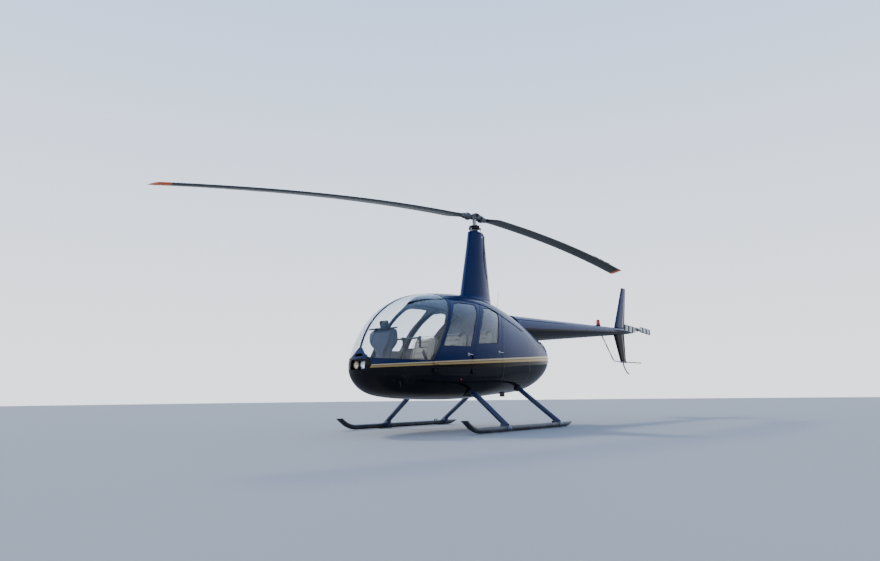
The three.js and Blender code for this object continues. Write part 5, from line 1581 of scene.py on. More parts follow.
for name, (back, front, top, lean, height) in SEATS.items():
    rise = np.array([-lean, 0, height - top - CUSHION])
    up_back = unit(rise)
    ahead_back = np.array([up_back[2], 0, -up_back[0]])
    tall = (height - top - 0.020) / up_back[2]
    for side, sign in SIDES:
        y = sign * (SEAT_INNER + SEAT_OUTER) / 2
        seat_foot = np.array([front + 0.014 - PAD_LENGTH, y, top + 0.001])
        placed = laid(cushion_points, seat_foot, (1, 0, 0), (0, 0, 1))
        upholstered(f"cushion_{name}_{side}", placed, pad_faces, cushion_channel_shade,
                    [f"seat_{name}_{side}"])
        back_foot = np.array([back + 0.004 + lean * 0.02, y, top + 0.012])
        placed = laid(back_points * (tall / BACK_LENGTH, 1, 1), back_foot, up_back, ahead_back)
        upholstered(f"backrest_{name}_{side}", placed, back_faces, back_channel_shade)
        cords = [laid(piping_round(PAD_LENGTH, PAD_THICK * share), seat_foot, (1, 0, 0), (0, 0, 1))
                 for share in (0.80, 0.20)]
        edge = piping_round(tall, BACK_THICK * BACK_LEVEL)
        edge[:, 1] *= 1 - BACK_TAPER * edge[:, 0] / tall
        cords.append(laid(edge, back_foot, up_back, ahead_back))
        put_mesh(f"piping_{name}_{side}", [hoop(cord, CORD_RADIUS) for cord in cords], PIPING)
        corners = [(0.0, -0.215, 0.03), (tall - 0.02, -0.190, 0.04), (tall - 0.02, 0.190, 0.04),
                   (0.0, 0.215, 0.03)]
        points, faces = plate(rounded_corners(corners), 0, SHELL_THICK, "z", 0.004)
        points = laid(points * (1, 1, -1), back_foot, up_back, ahead_back)
        put_mesh(f"seat_shell_{name}_{side}", (points, [f[::-1] for f in faces]), TRIM_GREY)
        face_out = BACK_THICK + SHELL_THICK
        outer, inner = sign * 0.135, -sign * 0.150
        # From behind the back over its top and down its face: (up the back, across, out of it).
        route = np.array([(tall - 0.10, outer * 1.05, -0.030), (tall + 0.012, outer, 0.035),
                          (tall - 0.015, outer * 0.9, face_out - 0.010),
                          (0.135, inner, face_out + 0.008)])
        buckle = np.array([back + 0.125, sign * 0.022, top + 0.118])
        webs = [strap([*laid(route, back_foot, up_back, ahead_back), buckle], ahead_back)]
        lap = [buckle, (back + 0.185, sign * 0.085, top + 0.112), (back + 0.200, y, top + 0.116),
               (back + 0.175, sign * 0.455, top + 0.109), (back + 0.120, sign * 0.494, top + 0.050)]
        webs.append(strap(lap, (0.1, 0, 1.0)))
        put_mesh(f"belts_{name}_{side}", webs, WEBBING)
        case = slab(buckle - (0.016, 0.013, 0.055), buckle + (0.018, 0.013, 0.022), 0.005)
        put_mesh(f"buckle_{name}_{side}", case, DARK_METAL)


# Engine: a flat six of cast aluminium with finned cylinders, a belt-driven fan behind it, and a
# steel exhaust pipe out through the belly, browned by its heat. Little of it shows past the cowls.
CYLINDER_STATIONS = (0.11, -0.07, -0.25)
CRANK_HEIGHT = 0.82
CAST_METAL = finish_of("engine_casting", (0.34, 0.34, 0.33), 0.55, bump=0.6, dust=0.3, grain=250.0,
                       Metallic=0.85)
fin_along = 0.125 + 0.016 * np.repeat(np.arange(10), 4) + np.tile([0, 0, 0.005, 0.005], 10)
fin_radius = np.tile([0.060, 0.078, 0.078, 0.060], 10)
barrel = np.stack([fin_along, fin_radius], 1)
block = [slab((-0.34, -0.12, 0.715), (0.235, 0.12, 0.925), 0.02),
         slab((-0.30, -0.10, 0.682), (0.05, 0.10, 0.722), 0.012)]
for x in CYLINDER_STATIONS:
    cover = slab((x - 0.07, 0.285, 0.765), (x + 0.07, 0.328, 0.875), 0.012)
    for form in (lathe(barrel, (x, 0, CRANK_HEIGHT), "y", 28), cover):
        block += [form, mirrored(form)]
scroll = [(-0.695, 0.09), (-0.690, 0.12), (-0.64, 0.137), (-0.50, 0.137), (-0.44, 0.11),
          (-0.34, 0.10)]
block.append(lathe(scroll, (0, 0, CRANK_HEIGHT), "x", 40))
put_mesh("engine_block", block, CAST_METAL, ["engine"])


def heated_steel(tree):
    """Straw, brown and blue tints that follow the height up the pipe, broken up by noise."""
    where = object_place(tree)
    height = add_node(tree, "SeparateXYZ", {0: where}).outputs[2]
    uneven = maths(tree, "MULTIPLY_ADD", noise(tree, where, 30.0), 0.05, height)
    tint = blend_colours(tree, rising(tree, uneven, 0.46, 0.53), (0.16, 0.13, 0.11),
                         (0.26, 0.19, 0.13))
    return blend_colours(tree, rising(tree, uneven, 0.55, 0.62), tint, (0.16, 0.17, 0.24))


EXHAUST_STEEL = finish_of("exhaust_steel", (0.2, 0.16, 0.13), 0.5, bump=0.3, dust=0.1,
                          colour_from=heated_steel, Metallic=0.9)
PIPE_X, PIPE_Y, COLLAR_RADIUS = -0.400, 0.170, 0.047
PIPE = [(0.580, 0.001), (0.580, 0.0345), (0.439, 0.0345), (0.436, 0.0355), (0.436, 0.037),
        (0.439, 0.038), (0.520, 0.038), (0.521, 0.044), (0.524, 0.0445), (0.527, 0.044),
        (0.528, 0.038), (0.660, 0.038), (0.662, 0.052), (0.679, 0.052), (0.680, 0.001)]
put_mesh("exhaust_pipe", lathe(PIPE, (PIPE_X, PIPE_Y, 0), "z", 48), EXHAUST_STEEL,
         ["exhaust"])
collar_ring = [(PIPE_X + COLLAR_RADIUS * np.cos(t), PIPE_Y + COLLAR_RADIUS * np.sin(t))
               for t in full_turn(40)]
collar = pattern_of(from_above(collar_ring, under=True))
panel("exhaust_collar", [widened(collar, 0.012), collar], 0.003, BARE_STEEL, depth=-0.0015,
      edge=0.0008)


# Mast fairing: a tall moulded shell round the mast, long fore and aft, flared onto the roof at its
# foot. Painted navy, with a black edge seam down its left rear side and a small plug at its top.
FAIRING_ROWS = np.array([
    # height, front and rear x, half width
    (1.700, 0.380, -0.400, 0.160), (1.890, 0.345, -0.362, 0.140), (2.300, 0.258, -0.310, 0.118),
    (2.700, 0.172, -0.262, 0.098), (2.940, 0.126, -0.234, 0.088),
])
FAIRING_TOP = 2.940
SHOULDER = 0.034  # how much lower the rear of the top is
FOOT_FLARE, FOOT_HEIGHT = 0.026, 0.055
FAIRING_SIDES = 96
REAR_PINCH = 0.18  # how much fuller the section is ahead of its middle than behind


def eased(at, spots, values):
    """A smooth curve through values at spots: cubics whose slopes are the central differences."""
    spots, values = np.asarray(spots, float), np.asarray(values, float)
    slopes = np.gradient(values, spots, axis=0)
    near = np.clip(np.searchsorted(spots, at, "right") - 1, 0, len(spots) - 2)
    length = spots[near + 1] - spots[near]
    part = np.clip((at - spots[near]) / length, 0, 1)[..., None]
    length = length[..., None]
    low, high = values[near], values[near + 1]
    square, cube = part**2, part**3
    return (low * (1 - 3 * square + 2 * cube) + high * (3 * square - 2 * cube) + length
            * (slopes[near] * (part - 2 * square + cube) + slopes[near + 1] * (cube - square)))


def fairing(turn, height, extra=0.0):
    """The fairing: middle + reach cos a along, half sin a (1 + 0.18 cos a) across, at a height."""
    front, rear, half = np.moveaxis(eased(height, FAIRING_ROWS[:, 0], FAIRING_ROWS[:, 1:]), -1, 0)
    along = (front + rear) / 2 + ((front - rear) / 2 + extra) * np.cos(turn)
    across = (half + extra) * np.sin(turn) * (1 + REAR_PINCH * np.cos(turn))
    return np.stack([along, across, height + 0 * along], -1)


def roof_under(place):
    """Height of the body's skin straight below a place."""
    row, angle = from_above(place.reshape(-1, 3)[:, :2]).T
    return skin(row, angle)[:, 2].reshape(place.shape[:-1])


FAIRING_TURN = full_turn(FAIRING_SIDES)
foot = np.full(FAIRING_SIDES, 1.88)
for _ in range(8):
    foot = roof_under(fairing(FAIRING_TURN, foot))
top = FAIRING_TOP - SHOULDER * np.clip((-np.cos(FAIRING_TURN) - 0.1) / 0.9, 0, 1) ** 1.5
rings = []
for rise in (-0.006, 0.0012, 0.0035, 0.009, 0.016, 0.025, 0.037, FOOT_HEIGHT):
    flare = FOOT_FLARE * (1 - np.clip(rise, 0, None) / FOOT_HEIGHT) ** 2.2 + 0.004 * (rise < 0.003)
    ring = fairing(FAIRING_TURN, foot + rise, flare)
    share = np.clip(rise / FOOT_HEIGHT, 0, 1)
    ring[:, 2] = (1 - share) * (roof_under(ring) + rise) + share * (foot + rise)
    rings.append(ring)
for share in np.linspace(0.06, 1, 24):
    low = foot + FOOT_HEIGHT
    rings.append(fairing(FAIRING_TURN, low + (top - 0.010 - low) * share))
for rise, inset in ((-0.004, -0.0015), (0.0, -0.007), (0.0, -0.014), (-0.004, -0.018),
                    (-0.03, -0.020)):
    rings.append(fairing(FAIRING_TURN, top + rise, inset))
put_mesh("mast_fairing_shell", loft(rings), BODY_PAINT, ["mast_fairing"])
SEAM_TRACE = np.array([
    # height and turn in degrees
    (2.912, 158), (2.903, 146), (2.880, 134), (2.840, 126), (2.780, 119), (2.700, 113),
    (2.600, 108), (2.500, 106), (2.400, 108), (2.300, 113), (2.210, 120),
])
at = np.linspace(0, len(SEAM_TRACE) - 1, 90)
height, turn = eased(at, np.arange(len(SEAM_TRACE)), SEAM_TRACE).T
seam = fairing(np.radians(turn), height, -0.001)
thick = 0.0055 + 0.0055 * np.sin(np.linspace(0, np.pi, 90)) ** 2
plug_place = fairing(np.radians(96), np.array(2.862))
put_mesh("fairing_seam", rod(seam, thick, 12, rounded=0.003), BLACK_RUBBER)
WHITE_PLASTIC = finish_of("white_plastic", (0.75, 0.75, 0.74), 0.35, bump=0.05, dust=0.1)
put_mesh("fairing_plug", lathe([(-0.012, 0.016), (0.0015, 0.016), (0.004, 0.012)], plug_place, "y",
                               32), WHITE_PLASTIC)
boot = [(2.905, 0.100), (2.915, 0.082), (2.925, 0.070), (2.931, 0.076), (2.937, 0.066),
        (2.943, 0.072), (2.949, 0.062), (2.955, 0.064), (2.962, 0.052), (2.968, 0.047)]
put_mesh("mast_boot", lathe(boot, (0, 0, 0), "z", 56), BLACK_RUBBER)


# Mast and swashplate: a steel tube, with an aluminium plate on a ball that only tilts, three rods
# to it from below, and an upper plate on bearings that turns with the rotor.
ROTOR_METAL = finish_of("rotor_metal", (0.13, 0.135, 0.14), 0.42, bump=0.25, dust=0.1, grain=500.0,
                        Metallic=0.75)
tube = lathe([(2.930, 0.046), (2.974, 0.046), (2.976, 0.040), (3.004, 0.040), (3.005, 0.036)],
             (0, 0, 0))
put_mesh("mast_sleeve", tube, BARE_STEEL, ["mast_tube"])
lower = lathe([(2.980, 0.050), (2.984, 0.078), (2.990, 0.087), (3.004, 0.088), (3.009, 0.084),
               (3.0095, 0.052)], (0, 0, 0), sides=64)
ears, rods = [], []
ROD_TURNS = np.radians([8, 128, 248])
for turn in ROD_TURNS:
    away = np.array([np.cos(turn), np.sin(turn), 0])
    ears.append(rod([away * 0.075 + (0, 0, 2.996), away * 0.106 + (0, 0, 2.996)], (0.016, 0.011),
                    20, rounded=0.004))
    rods.append(rod([away * 0.090 + (0, 0, 2.915), away * 0.100 + (0, 0, 2.992)], 0.005, 16))
    rods.append(rod([away * 0.0985 + (0, 0, 2.979), away * 0.100 + (0, 0, 2.992)], 0.0095, 6))
put_mesh("swashplate_lower", [lower, *ears], DARK_METAL)
put_mesh("swashplate_rods", rods, BARE_STEEL)


# Rotor head: a forged yoke that rocks on one bolt through the shaft, with a coning bolt and a
# grip for each blade, a pitch link up from the turning plate to each grip's horn.
HUB_HEIGHT = 3.180
ROTOR_PARKED = np.radians(-0.7)
TEETER = 0.0573
BLADE_RISE = (-0.0222, -0.0134)
LINK_REACH, LINK_SIDE = 0.120, 0.066
SPINDLE_STATIONS = (0.128, 0.140, 0.150, 0.186, 0.196, 0.204, 0.246, 0.256, 0.290, 0.302)
SPINDLE_HEIGHT, TEETER_BOLT, CONING_BOLT, CONING_REACH = 3.178, 3.202, 3.172, 0.112


def parked(form, direction=1):
    """A form made along the rotor's span, tilted with the teeter, then turned to where it parks."""
    points, faces = form
    points = np.array(points, float).reshape(-1, 3)
    points[:, :2] *= direction
    points[:, 2] -= TEETER * points[:, 0]
    cosine, sine = np.cos(ROTOR_PARKED), np.sin(ROTOR_PARKED)
    x, y, z = points.T
    return np.stack([x * cosine - y * sine, x * sine + y * cosine, z], 1), faces


def level(form):
    """A form turned to the parked angle but not tilted."""
    points, faces = parked(form)
    points[:, 2] = np.asarray(form[0], float).reshape(-1, 3)[:, 2]
    return points, faces


cheek = [(-0.150, 3.150, 0.012), (-0.155, 3.190, 0.015), (-0.095, 3.208, 0.02),
         (-0.045, 3.238, 0.02), (0.045, 3.238, 0.02), (0.095, 3.208, 0.02), (0.155, 3.190, 0.015),
         (0.150, 3.150, 0.012), (0.070, 3.152, 0.02), (0.0, 3.162, 0.02), (-0.070, 3.152, 0.02)]
yoke = [plate(rounded_corners(cheek), y, y + 0.018, "y", 0.003) for y in (-0.064, 0.046)]
yoke.append(slab((-0.056, -0.050, 3.150), (0.056, 0.050, 3.226), 0.010))


def head_bolt(reach, z, half, radius, sides, head):
    """A bolt across the yoke with a hexagonal head on each end: (place, radius, height)."""
    shank = rod([(reach, -half, z), (reach, half, z)], radius, sides, rounded=0.002)
    place, wide, high = head
    return [shank] + [bolt_heads([(reach, way * place, z)], wide, way * high, "y")
                      for way in (1, -1)]


bolts = head_bolt(0, TEETER_BOLT, 0.085, 0.019, 24, (0.066, 0.026, 0.014))
for reach in (-CONING_REACH, CONING_REACH):
    yoke.append(slab((reach - 0.028, -0.050, 3.152), (reach + 0.028, 0.050, 3.192), 0.008))
    bolts += head_bolt(reach, CONING_BOLT, 0.080, 0.013, 20, (0.064, 0.020, 0.011))
grips, boots, links = [], [], []
for direction in (1, -1):
    spindle = [(r, 0, SPINDLE_HEIGHT + BLADE_RISE[0] * r) for r in SPINDLE_STATIONS]
    across = (0.040, 0.055, 0.058, 0.058, 0.054, 0.047, 0.043, 0.045, 0.038, 0.030)
    grips.append(parked(rod(spindle, across, 32, rounded=0.003), direction))
    bellow = [(r, 0, SPINDLE_HEIGHT + BLADE_RISE[0] * r) for r in np.linspace(0.092, 0.134, 11)]
    boots.append(parked(rod(bellow, 0.034 + 0.008 * (np.arange(11) % 2), 28), direction))
    horn = rod([(LINK_REACH + 0.035, 0.030, 3.166), (LINK_REACH + 0.012, 0.058, 3.164),
                (LINK_REACH, LINK_SIDE + 0.014, 3.162)], (0.016, 0.013, 0.011), 20, rounded=0.003)
    grips.append(parked(horn, direction))
    foot = np.array([0.012 * direction, LINK_SIDE * direction, 3.030])
    horn_z = 3.160 - TEETER * LINK_REACH * direction
    end = np.array([LINK_REACH * direction, LINK_SIDE * direction, horn_z])
    share = np.array([0, 0.10, 0.13, 0.36, 0.38, 0.62, 0.64, 0.87, 0.90, 1.0])
    width = np.array([9, 9, 5, 5, 7, 7, 5, 5, 9, 9]) * 0.001
    links.append(level(rod(foot + (end - foot) * share[:, None], width, 18, rounded=0.002)))
    for place in (foot, end):
        ends = [place - (0, 0.010, 0), place + (0, 0.010, 0)]
        links.append(level(rod(ends, 0.011, 18, rounded=0.002)))
shaft = lathe([(2.972, 0.0285), (3.2, 0.030), (3.226, 0.030), (3.228, 0.027), (3.236, 0.027),
               (3.240, 0.022)], (0, 0, 0), sides=40)
upper = lathe([(3.0140, 0.034), (3.0145, 0.074), (3.018, 0.081), (3.036, 0.082), (3.040, 0.076),
               (3.0405, 0.034)], (0, 0, 0), sides=64)
arm = slab((-0.018, -0.092, 3.018), (0.018, 0.092, 3.037), 0.004)
put_mesh("rotor_yoke", [parked(form) for form in yoke], ROTOR_METAL, ["rotor_head"],
         body="main_rotor")
put_mesh("rotor_grips", grips, ROTOR_METAL, body="main_rotor")
put_mesh("rotor_boots", boots, BLACK_RUBBER, body="main_rotor")
put_mesh("rotor_bolts", [parked(form) for form in bolts], DARK_METAL, body="main_rotor")
put_mesh("rotor_shaft", shaft, BARE_STEEL, body="main_rotor")
put_mesh("swashplate_upper", [upper, level(arm)], DARK_METAL, body="main_rotor")
put_mesh("pitch_links", links, BARE_STEEL, body="main_rotor")


# Rotor blades: bonded aluminium skins over a stainless spar that is also the leading edge, dull
# grey, drooping under their own weight, with orange tips, a thin pale trailing edge and tabs.
BLADE_ROOT, BLADE_TIP = 0.3003, 5.030
TAB_STARTS, TAB_LENGTH = (3.72, 3.98, 4.24), 0.20
TIP_PAINT, PALE_EDGE = 0.13, 0.945  # length of the orange, and where the pale edge starts
BLADE_CHORD, BLADE_THICK = 0.254, 0.031
PITCH_AXIS = 0.25
ROOT_PITCH, TIP_PITCH = np.radians([-0.5, -9.0])


def aerofoil(behind):
    """Half thickness of a symmetric section at each share of the chord behind its leading edge."""
    curve = 0.2969 * np.sqrt(behind) - 0.126 * behind - 0.3516 * behind**2
    return 5 * (curve + 0.2843 * behind**3 - 0.1015 * behind**4) + 0.015 * behind


def round_section(count=24):
    """(behind, thick) points right round a section, closer together near the leading edge."""
    behind = (1 - np.cos(np.linspace(0, np.pi, count))) / 2
    upper = np.stack([behind, aerofoil(behind)], 1)
    return np.concatenate([upper, (upper * (1, -1))[::-1][:-1]])


def with_map(obj, u, v):
    """A UV map given point by point."""
    corners = np.empty(len(obj.data.loops), int)
    obj.data.loops.foreach_get("vertex_index", corners)
    layer = obj.data.uv_layers.new(name="spread")
    layer.data.foreach_set("uv", np.stack([u, v], 1)[corners].ravel())
    return obj


def mapped(tree):
    """The two values of the map at each place of the surface."""
    spread = add_node(tree, "UVMap", uv_map="spread").outputs[0]
    return add_node(tree, "SeparateXYZ", {0: spread}).outputs[:2]


def blade_place(reach, behind, thick, direction):
    """A blade's point: chordwise and thickness turned by the pitch, on the drooped span line."""
    share = (reach - BLADE_ROOT) / (BLADE_TIP - BLADE_ROOT)
    pitch = ROOT_PITCH + (TIP_PITCH - ROOT_PITCH) * share
    chordwise = (PITCH_AXIS - behind) * BLADE_CHORD
    across = chordwise * np.cos(pitch) - thick * np.sin(pitch)
    lift = chordwise * np.sin(pitch) + thick * np.cos(pitch)
    height = HUB_HEIGHT - TEETER * direction * reach + BLADE_RISE[0] * reach
    height = height + BLADE_RISE[1] * reach**2
    points = np.stack([direction * reach + 0 * lift, direction * across, 0 * lift], -1)
    turned, _ = level((points, []))
    return np.concatenate([turned[:, :2], (height + lift).reshape(-1, 1)], 1)


def blade_colours(tree):
    """By the map (distance out, share behind the edge): spar strip, paint, pale edge, tip."""
    out, behind = mapped(tree)
    where = object_place(tree)
    streaks = noise(tree, where, 14.0, 5.0, 0.65)
    paint = blend_colours(tree, rising(tree, streaks, 0.35, 0.75), (0.014, 0.014, 0.012),
                          (0.026, 0.025, 0.021))
    strip = maths(tree, "LESS_THAN", behind, maths(tree, "MULTIPLY_ADD", streaks, 0.03, 0.075))
    paint = blend_colours(tree, strip, paint, (0.06, 0.06, 0.058))
    edge = maths(tree, "GREATER_THAN", behind, PALE_EDGE)
    paint = blend_colours(tree, edge, paint, (0.42, 0.36, 0.25))
    tip = maths(tree, "GREATER_THAN", out, BLADE_TIP - TIP_PAINT)
    return blend_colours(tree, tip, paint, (0.72, 0.13, 0.02))


BLADE_PAINT = finish_of("blade_paint", (0.055, 0.056, 0.052), 0.42, bump=0.1, dust=0.0,
                        scuffs=0.3, colour_from=blade_colours, Specular_IOR_Level=0.25)
ROOT_NARROWS, ROOT_FATTENS, TIP_CLOSES = 0.16, 0.30, 0.020  # lengths of blade over which it does
reach = np.concatenate([[BLADE_ROOT, BLADE_ROOT + 0.003], np.linspace(0.32, BLADE_TIP - 0.03, 60),
                        BLADE_TIP - np.array([TIP_CLOSES, 0.012, 0.006, 0.002, 0.0])])
narrow = 1 - 0.5 * (1 - np.clip((reach - BLADE_ROOT) / ROOT_NARROWS, 0, 1)) ** 2
fatter = 1 + 0.9 * (1 - np.clip((reach - BLADE_ROOT) / ROOT_FATTENS, 0, 1)) ** 2
to_tip = np.clip((BLADE_TIP - reach) / TIP_CLOSES, 0, 1)
fatter[-5:] *= np.sqrt(1 - (1 - to_tip[-5:]) ** 2) * 0.96 + 0.04
section = round_section()
for name, direction in (("forward", 1), ("aft", -1)):
    behind = PITCH_AXIS + (section[None, :, 0] - PITCH_AXIS) * narrow[:, None]
    thick = section[None, :, 1] * BLADE_THICK * fatter[:, None]
    grid = blade_place(np.broadcast_to(reach[:, None], behind.shape), behind, thick, direction)
    form = loft(grid.reshape(*behind.shape, 3))
    blade = put_mesh("blade_skin_" + name, form, BLADE_PAINT, ["blade_" + name],
                     body="main_rotor")
    with_map(blade, np.repeat(reach, behind.shape[1]), np.tile(section[:, 0], len(reach)))
    doublers = []
    for low, high, rise in ((0.300, 0.420, 0.019), (0.300, 0.520, 0.0165)):
        for way in (1, -1):
            spots = rounded_corners([(low, 0.10), (low, 0.42), (high - 0.05, 0.46, 0.012),
                                     (high, 0.27, 0.012), (high - 0.05, 0.08, 0.012)])
            levels = [blade_place(*spots.T, way * np.full(len(spots), t), direction)
                      for t in (0.004, rise - 0.001, rise)]
            doublers.append(loft(levels))
    put_mesh("blade_doublers_" + name, doublers, ROTOR_METAL, body="main_rotor")
    tabs = []
    for start in TAB_STARTS:
        end = start + TAB_LENGTH
        spots = np.array([(start, 0.985), (end, 0.985), (end, 1.055), (start, 1.055)])
        tabs.append(loft([blade_place(*spots.T, np.full(4, t), direction)
                          for t in (-0.0007, 0.0007)]))
    put_mesh("trim_tabs_" + name, tabs, ROTOR_METAL, body="main_rotor")


# Tail boom: a tapered tube of riveted aluminium skins over ring frames, each skin lapping the one
# behind it. Navy over gloss black, with a whip aerial ahead of it and a red beacon on top.
FRAME_STATIONS = (-1.72, -2.30, -2.88, -3.46, -4.04, -4.62, -5.10, -5.46)
LAP = 0.0007
BOOM_PAINT = livery_paint("boom_paint", Top=BOOM_LINE, Top_slope=BOOM_SLOPE, Low=BOOM_LINE,
                          Low_slope=BOOM_SLOPE)
edges = (BOOM_START, *FRAME_STATIONS, BOOM_END)
stations, proud = [], []
for number, (front, rear) in enumerate(zip(edges, edges[1:])):
    inner = np.linspace(front, rear, 8)
    stations += [inner[0] - 0.0002, *inner[1:-1], inner[-1] + 0.0002]
    proud += [-LAP * number] * 8
rings = boom_ring(stations, 0.0, 96)
middle = rings.mean(1, keepdims=True)
width = BOOM_RADIUS + BOOM_TAPER * np.array(stations)
rings = middle + (rings - middle) * (1 + np.array(proud) / width)[:, None, None]
rings[-1] = middle[-1] + (rings[-1] - middle[-1]) * 0.97
put_mesh("boom_skin", loft(rings), BOOM_PAINT, ["tail_boom"])


def boom_rivets(stations, turns, radius=0.0026, height=0.0007):
    """Low round heads on the boom: one at each station and turn, straight out from its axis."""
    along, turn = (grid.ravel() for grid in np.meshgrid(stations, turns))
    out = np.stack([0 * turn, np.cos(turn), np.sin(turn)], 1)
    reach = BOOM_RADIUS + BOOM_TAPER * along - 0.0002
    foot = np.stack([along, 0 * along, BOOM_LINE + BOOM_SLOPE * along], 1) + out * reach[:, None]
    across = np.stack([0 * turn, -np.sin(turn), np.cos(turn)], 1)
    angle = full_turn(6)[:, None, None]
    ring = np.cos(angle) * np.array([1.0, 0, 0]) + np.sin(angle) * across
    levels = [(-0.0025, radius), (height * 0.5, radius), (height, radius * 0.55)]
    made = np.stack([foot + out * up + ring * wide for up, wide in levels])
    return together([loft(made[:, :, k]) for k in range(len(foot))])


heads = [boom_rivets(np.array(FRAME_STATIONS) + near, full_turn(30)) for near in (-0.010, 0.012)]
heads.append(boom_rivets(np.arange(-1.75, -5.66, -0.045), np.array([-np.pi / 2 - 0.12])))
put_mesh("boom_rivets", heads, BOOM_PAINT)

aerial = bent([(-0.553, 0, 1.70), (-0.590, 0, 1.86), (-0.640, 0, 2.090)], 0.05)
tapered = np.linspace(0.0045, 0.0018, len(aerial))
whip = [rod(aerial, tapered, 16, rounded=0.0015)]
AERIAL_X = -0.580
roof = float(roof_under(np.array([[AERIAL_X, 0.0, 0.0]]))[0])
boot = [(roof - 0.01, 0.020), (roof + 0.002, 0.020), (roof + 0.006, 0.014), (roof + 0.03, 0.009),
        (roof + 0.055, 0.006)]
whip.append(lathe(boot, (AERIAL_X, 0, 0), "z", 28))
ANTENNA_BLACK = finish_of("antenna_black", (0.02, 0.02, 0.022), 0.5, bump=0.1, dust=0.1)
put_mesh("whip_aerial", whip, ANTENNA_BLACK, ["whip_antenna"])

BEACON_X = -4.260
BEACON_TOP, DOME_HEIGHT, BASE_HEIGHT = 1.954, 0.030, 0.022
beacon_foot = BOOM_LINE + BOOM_SLOPE * BEACON_X + BOOM_RADIUS + BOOM_TAPER * BEACON_X
base = [(beacon_foot - 0.02, 0.046), (beacon_foot + 0.012, 0.046), (beacon_foot + 0.018, 0.042),
        (beacon_foot + BASE_HEIGHT, 0.042)]
put_mesh("beacon_base", lathe(base, (BEACON_X, 0, 0), "z", 48), DARK_METAL)
lens_foot, dome_foot = beacon_foot + BASE_HEIGHT, BEACON_TOP - DOME_HEIGHT
ribs = np.linspace(lens_foot, dome_foot, 15)
wall = np.stack([ribs, np.linspace(0.041, 0.0365, 15) - 0.0009 * (np.arange(15) % 2)], 1)
dome = np.stack([dome_foot + DOME_HEIGHT * np.sin(lens_turn),
                 0.0365 * np.cos(lens_turn) + 0.0004], 1)
put_mesh("beacon_lens", lathe(np.concatenate([wall, dome[1:]]), (BEACON_X, 0, 0), "z", 48),
         RED_LENS, ["beacon"])


# Fins and stabilizer: riveted aluminium skins folded round a front spar, creased along the line
# where the rear skin starts. The upper fin is navy, the lower one black, the stabilizer black.
FINS = {
    # leading x, trailing x, height and thickness at the foot and at the end
    "upper": ((-5.010, -5.535, 1.785, 0.062), (-5.530, -5.750, 2.766, 0.034)),
    "lower": ((-4.945, -5.527, 1.780, 0.060), (-5.270, -5.550, 1.141, 0.036)),
}
CREASE = 0.64
END_START = 0.985  # share of a fin's height at which its end starts to round over
fin_behind = np.r_[(1 - np.cos(np.linspace(0, np.pi / 2, 14))) * 0.6,
                   np.linspace(0.615, 0.665, 9), 0.70, 0.76, 0.82, 0.86, 0.90, 0.96, 1.0]
fin_half = np.where(fin_behind < 0.3, aerofoil(fin_behind), 0.5) * 0.98
fin_half = fin_half - 0.37 * np.clip((fin_behind - CREASE) / 0.22, 0, 1)
fin_half = fin_half * (1 - 0.12 * np.exp(-((fin_behind - CREASE) / 0.012) ** 2))
fin_side = np.stack([fin_behind, fin_half], 1)
FIN_OUTLINE = np.concatenate([fin_side, (fin_side * (1, -1))[::-1][:-1]])


def tail_surface(root, end, upright=True, stations=18):
    """Sections from root to end (leading, trailing, place, thickness), the end rounded over."""
    share = np.r_[np.linspace(0, END_START, stations), 0.990, 0.995, 0.9985, 1.0]
    rows = np.outer(1 - share, root) + np.outer(share, end)
    leading, trailing, place, thick = rows.T[..., None]
    closing = 1 - ((share - END_START) / 0.0152) ** 2 * (share > END_START)
    closing = np.sqrt(np.clip(closing, 0.004, 1))[:, None]
    chord = 0.5 + (FIN_OUTLINE[:, 0] - 0.5) * (0.97 + 0.03 * closing)
    along = leading + (trailing - leading) * chord
    across = FIN_OUTLINE[:, 1] * thick * closing
    level = place + 0 * along
    grid = (along, across, level) if upright else (along, level, across)
    return np.stack(grid, -1)


GLOSS_BLACK_PAINT = finish_of("gloss_black_paint", GLOSS_BLACK, 0.24, bump=0.012, dust=0.10,
                              dusty_height=1.2, grain=160.0, Coat_Weight=0.40, Coat_Roughness=0.03,
                              Coat_IOR=1.4, Specular_IOR_Level=0.0)
NAVY_PAINT = livery_paint("fin_paint", Top=-9.0, Top_slope=0.0, Low=-9.0, Low_slope=0.0)
put_mesh("fin_upper_skin", loft(tail_surface(*FINS["upper"])), NAVY_PAINT,
         ["fin_upper"])
put_mesh("fin_lower_skin", loft(tail_surface(*FINS["lower"])), GLOSS_BLACK_PAINT,
         ["fin_lower"])
STABILIZER_ROOT = (-4.960, -5.340, -0.020, 0.042)
STABILIZER_END = (-4.960, -5.340, -0.860, 0.042)
STABILIZER_HEIGHT = 1.775
tailplane = tail_surface(STABILIZER_ROOT, STABILIZER_END, upright=False) + (0, 0, STABILIZER_HEIGHT)
put_mesh("stabilizer_skin", loft(tailplane), GLOSS_BLACK_PAINT, ["stabilizer"])


# Tail rotor guard: one bent steel tube under the lower fin, banded red and white, held by a black
# clamp with a sprung steel skid below it.
GUARD_PATH = [(-4.360, 0, 1.680), (-4.930, 0, 1.136), (-6.400, 0, 1.146)]
GUARD_RADIUS, GUARD_SIDES = 0.0125, 20
GUARD_BAND = 0.300  # one red and one white
PLAIN_STRETCH = (0.80, 1.45)


def guard_bands(tree):
    """By the map (length along the tube): red in the first half of each band, else white."""
    along, _ = mapped(tree)
    share = maths(tree, "FRACT", maths(tree, "DIVIDE", along, GUARD_BAND))
    plain = maths(tree, "MULTIPLY", maths(tree, "GREATER_THAN", along, PLAIN_STRETCH[0]),
                  maths(tree, "LESS_THAN", along, PLAIN_STRETCH[1]))
    first_half = maths(tree, "LESS_THAN", share, 0.5)
    red = maths(tree, "MULTIPLY", first_half, maths(tree, "SUBTRACT", 1.0, plain))
    return blend_colours(tree, red, (0.80, 0.80, 0.78), (0.50, 0.012, 0.015))


